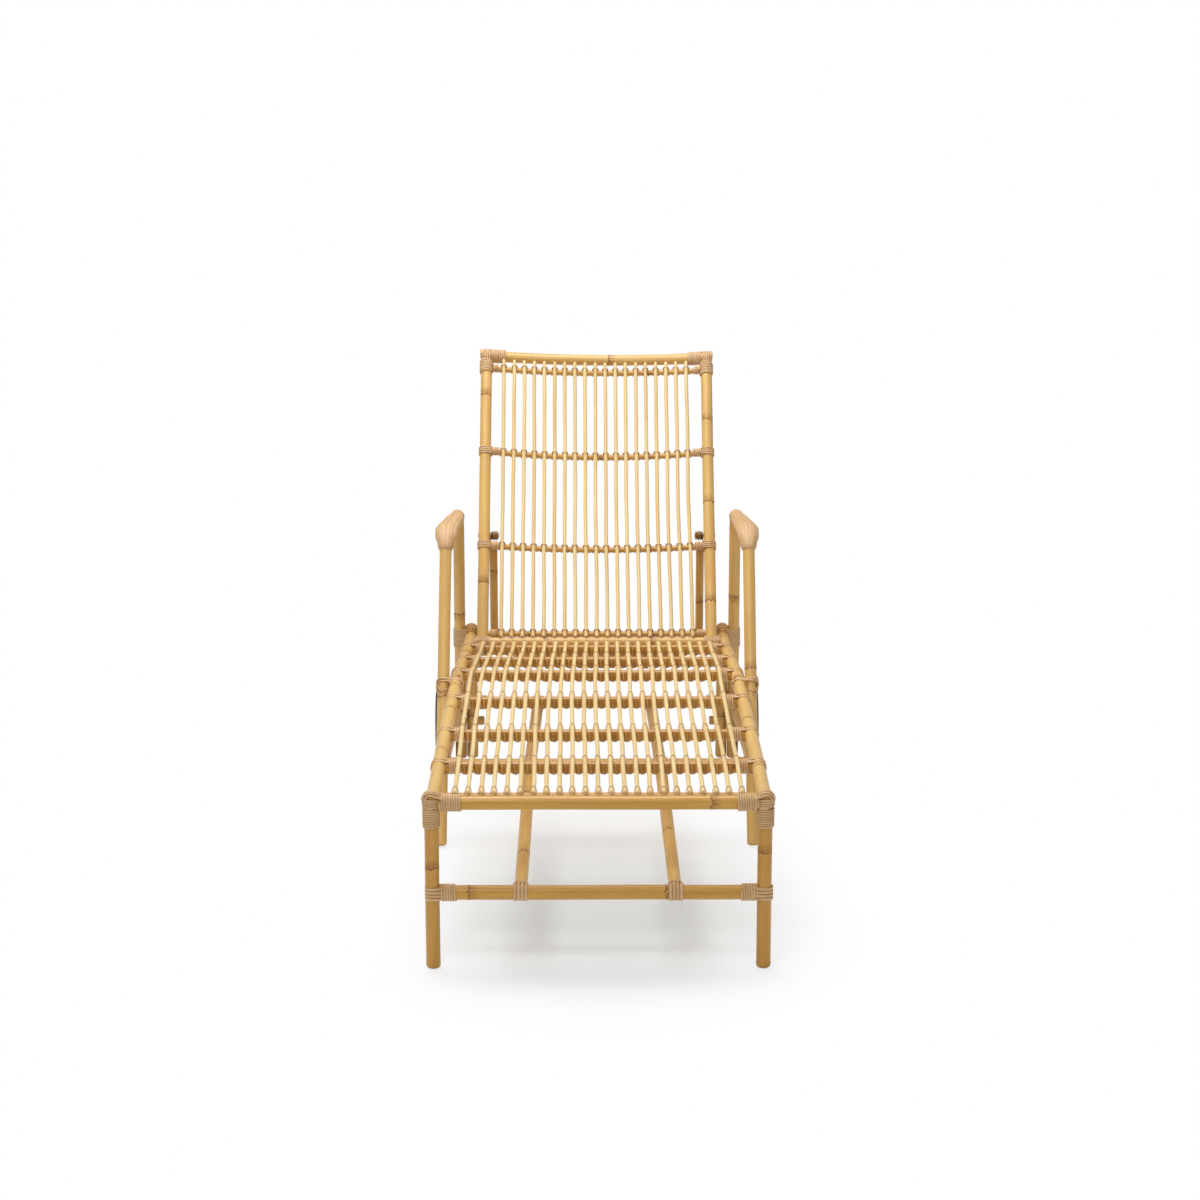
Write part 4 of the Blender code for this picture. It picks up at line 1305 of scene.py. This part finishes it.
shoulder = [(-0.0185, 0.0868), (-0.0205, 0.0960), (-0.0190, 0.1025), (-0.0165, 0.1058)]
tread = list(shoulder)
for groove in (-0.0125, -0.0062, 0.0, 0.0062, 0.0125):
    crown = 0.1079 - abs(groove) * 0.10
    tread += [(groove - 0.0017, crown), (groove - 0.0009, crown - 0.0022),
              (groove + 0.0009, crown - 0.0022), (groove + 0.0017, crown)]
tread += flipped(shoulder) + shoulder[:1]
dish = [(-0.0060, 0.0235), (-0.0050, 0.0260), (-0.0045, 0.0720), (-0.0060, 0.0750),
        (-0.0170, 0.0770), (-0.0178, 0.0780), (-0.0178, 0.0866)]
hub = [(-0.0180, 0.0074), (-0.0180, 0.0215), (-0.0170, 0.0225), *dish, *flipped(dish),
       (0.0120, 0.0225), (0.0130, 0.0215), (0.0130, 0.0074), (-0.0180, 0.0074)]
axle = [(0.2802, 0.0002), (0.2803, 0.0085), (0.2815, 0.0105), (0.2835, 0.0110),
        (0.2955, 0.0110), (0.2960, 0.0068), (0.3930, 0.0068), (0.3931, 0.0002)]
cap = [(0.3912, 0.0072), (0.3913, 0.0140), (0.3950, 0.0142), (0.3972, 0.0130),
       (0.3984, 0.0095), (0.3986, 0.0002)]

# %% Wheels
for side, sign in sides:
    outward = Vector((sign, 0, 0))
    hub_centre = axle_centre + outward * 0.3833
    turned(f"tyre_{side}_rubber", hub_centre, outward,
           [(a * wheel_width, r) for a, r in tread], 96, rubber, f"wheel_{side}",
           (f"tyre_{side}",), 35)
    turned(f"hub_{side}_plastic", hub_centre, outward,
           [(a * wheel_width, r) for a, r in hub], 64, plastic, f"wheel_{side}",
           (f"wheel_hub_{side}",), 35)
    turned(f"axle_{side}_wood", axle_centre, outward, axle, 32, cane, "frame",
           (f"axle_{side}",), 35, 0.3)
    turned(f"axle_{side}_cap", axle_centre, outward, cap, 40, plastic, "frame",
           (f"axle_cap_{side}",), 35)

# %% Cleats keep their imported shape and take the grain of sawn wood
for side in ("left", "right"):
    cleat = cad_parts[f"prop_cleat_{side}"]
    board = bpy.data.materials.get("sawn_board") or stained.copy()
    board.name = "sawn_board"
    cleat.data.materials.clear()
    cleat.data.materials.append(board)
board_tree = Tree(board.node_tree)
board_place = board_tree.add("ShaderNodeTexCoord").outputs["Object"]
for node in board.node_tree.nodes:
    if node.bl_idname == "ShaderNodeGroup":
        board_tree.put(node, "Grain", board_place)
        board_tree.put(node, "Light", (0.70, 0.43, 0.13, 1))
        board_tree.put(node, "Deep", (0.50, 0.26, 0.06, 1))

# %% [markdown]
# ## Floor, light and camera
# The room is white: a wide floor that shows the bed's soft shadow and fades to pure
# white, a large soft light overhead, a small one in front, and an even sky for the
# rest. The light from above leaves the front faces of the foot end darker. The camera
# stands 5 m in front of the foot end, at 2 m, with a long lens.

# %% Floor
work = bmesh.new()
bmesh.ops.create_grid(work, x_segments=1, y_segments=1, size=14)
floor = new_object("studio_floor", new_mesh("studio_floor", work))
paper, tree, shader = new_material("white_paper")
tree.put(shader, "Roughness", 0.9)
tree.put(shader, "Specular IOR Level", 0.1)
place = tree.add("ShaderNodeTexCoord").outputs["Object"]
parts = tree.add("ShaderNodeSeparateXYZ", Vector=place).outputs
middle = foot_y + 0.30
far_reach, near_reach, side_reach = 0.95, 0.72, 0.60
far = tree.scaled(parts["Y"], 1 / far_reach, -middle / far_reach)
near = tree.scaled(parts["Y"], -1 / near_reach, middle / near_reach)
far = tree.math("MAXIMUM", far, near)
wide = tree.times(parts["X"], 1 / side_reach)
length = tree.add("ShaderNodeCombineXYZ", X=wide, Y=far)
length = tree.add("ShaderNodeVectorMath", i0=length.outputs[0])
length.operation = "LENGTH"
edge = tree.band(length.outputs["Value"], 0.15, 1.0)
shaded, open_floor = (0.865, 0.935, 0.990, 1), (0.93, 0.93, 0.93, 1)
tree.put(shader, "Base Color", tree.mix(edge, shaded, open_floor))
seen = tree.add("ShaderNodeLightPath").outputs["Is Camera Ray"]
glow = tree.add("ShaderNodeEmission", Color=(1, 1, 1, 1), Strength=1.0)
blend = tree.add("ShaderNodeMixShader", Fac=tree.times(edge, seen),
                 i1=shader.outputs[0], i2=glow.outputs[0])
tree.put(paper.node_tree.nodes["Material Output"], "Surface", blend.outputs[0])
floor.data.materials.append(paper)
floor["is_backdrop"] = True

# %% World
world = bpy.data.worlds.new("white_room")
bpy.context.scene.world = world
world.use_nodes = True
tree = Tree(world.node_tree)
sky = world.node_tree.nodes["Background"]
tree.put(sky, "Color", (1, 1, 1, 1))
tree.put(sky, "Strength", 0.38)
bright = tree.add("ShaderNodeBackground", Color=(1, 1, 1, 1), Strength=1.0)
seen = tree.add("ShaderNodeLightPath").outputs["Is Camera Ray"]
blend = tree.add("ShaderNodeMixShader", Fac=seen, i1=sky.outputs[0],
                 i2=bright.outputs[0])
tree.put(world.node_tree.nodes["World Output"], "Surface", blend.outputs[0])

# %% Lamps


def soft_lamp(name, place, target, size, power):
    lamp = bpy.data.lights.new(name, "AREA")
    lamp.shape = "DISK"
    lamp.size = size
    lamp.energy = power
    made = new_object(name, lamp)
    made.location = place
    aim = Vector(target) - Vector(place)
    made.rotation_euler = aim.to_track_quat("-Z", "Y").to_euler()


soft_lamp("top_light", (-0.5, 0.5, 3.8), (0, 0, 0.3), 2.8, 112)
soft_lamp("front_light", (-0.7, -2.9, 3.3), (0, 0, 0.4), 1.1, 24)

# %% Camera
camera = new_object("camera", bpy.data.cameras.new("camera"))
camera.location = (-0.0193, foot_y - 5.081, 1.985)
camera.rotation_euler = (math.radians(90 - 13.6), 0, math.radians(-0.240))
camera.data.lens = 81
camera.data.sensor_width = 36
camera.data.clip_end = 60
bpy.context.scene.camera = camera
bpy.context.scene.view_settings.view_transform = "Standard"

# %% Print the sizes and finish
low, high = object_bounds()
print("visual box", [round(v, 4) for v in low], [round(v, 4) for v in high])
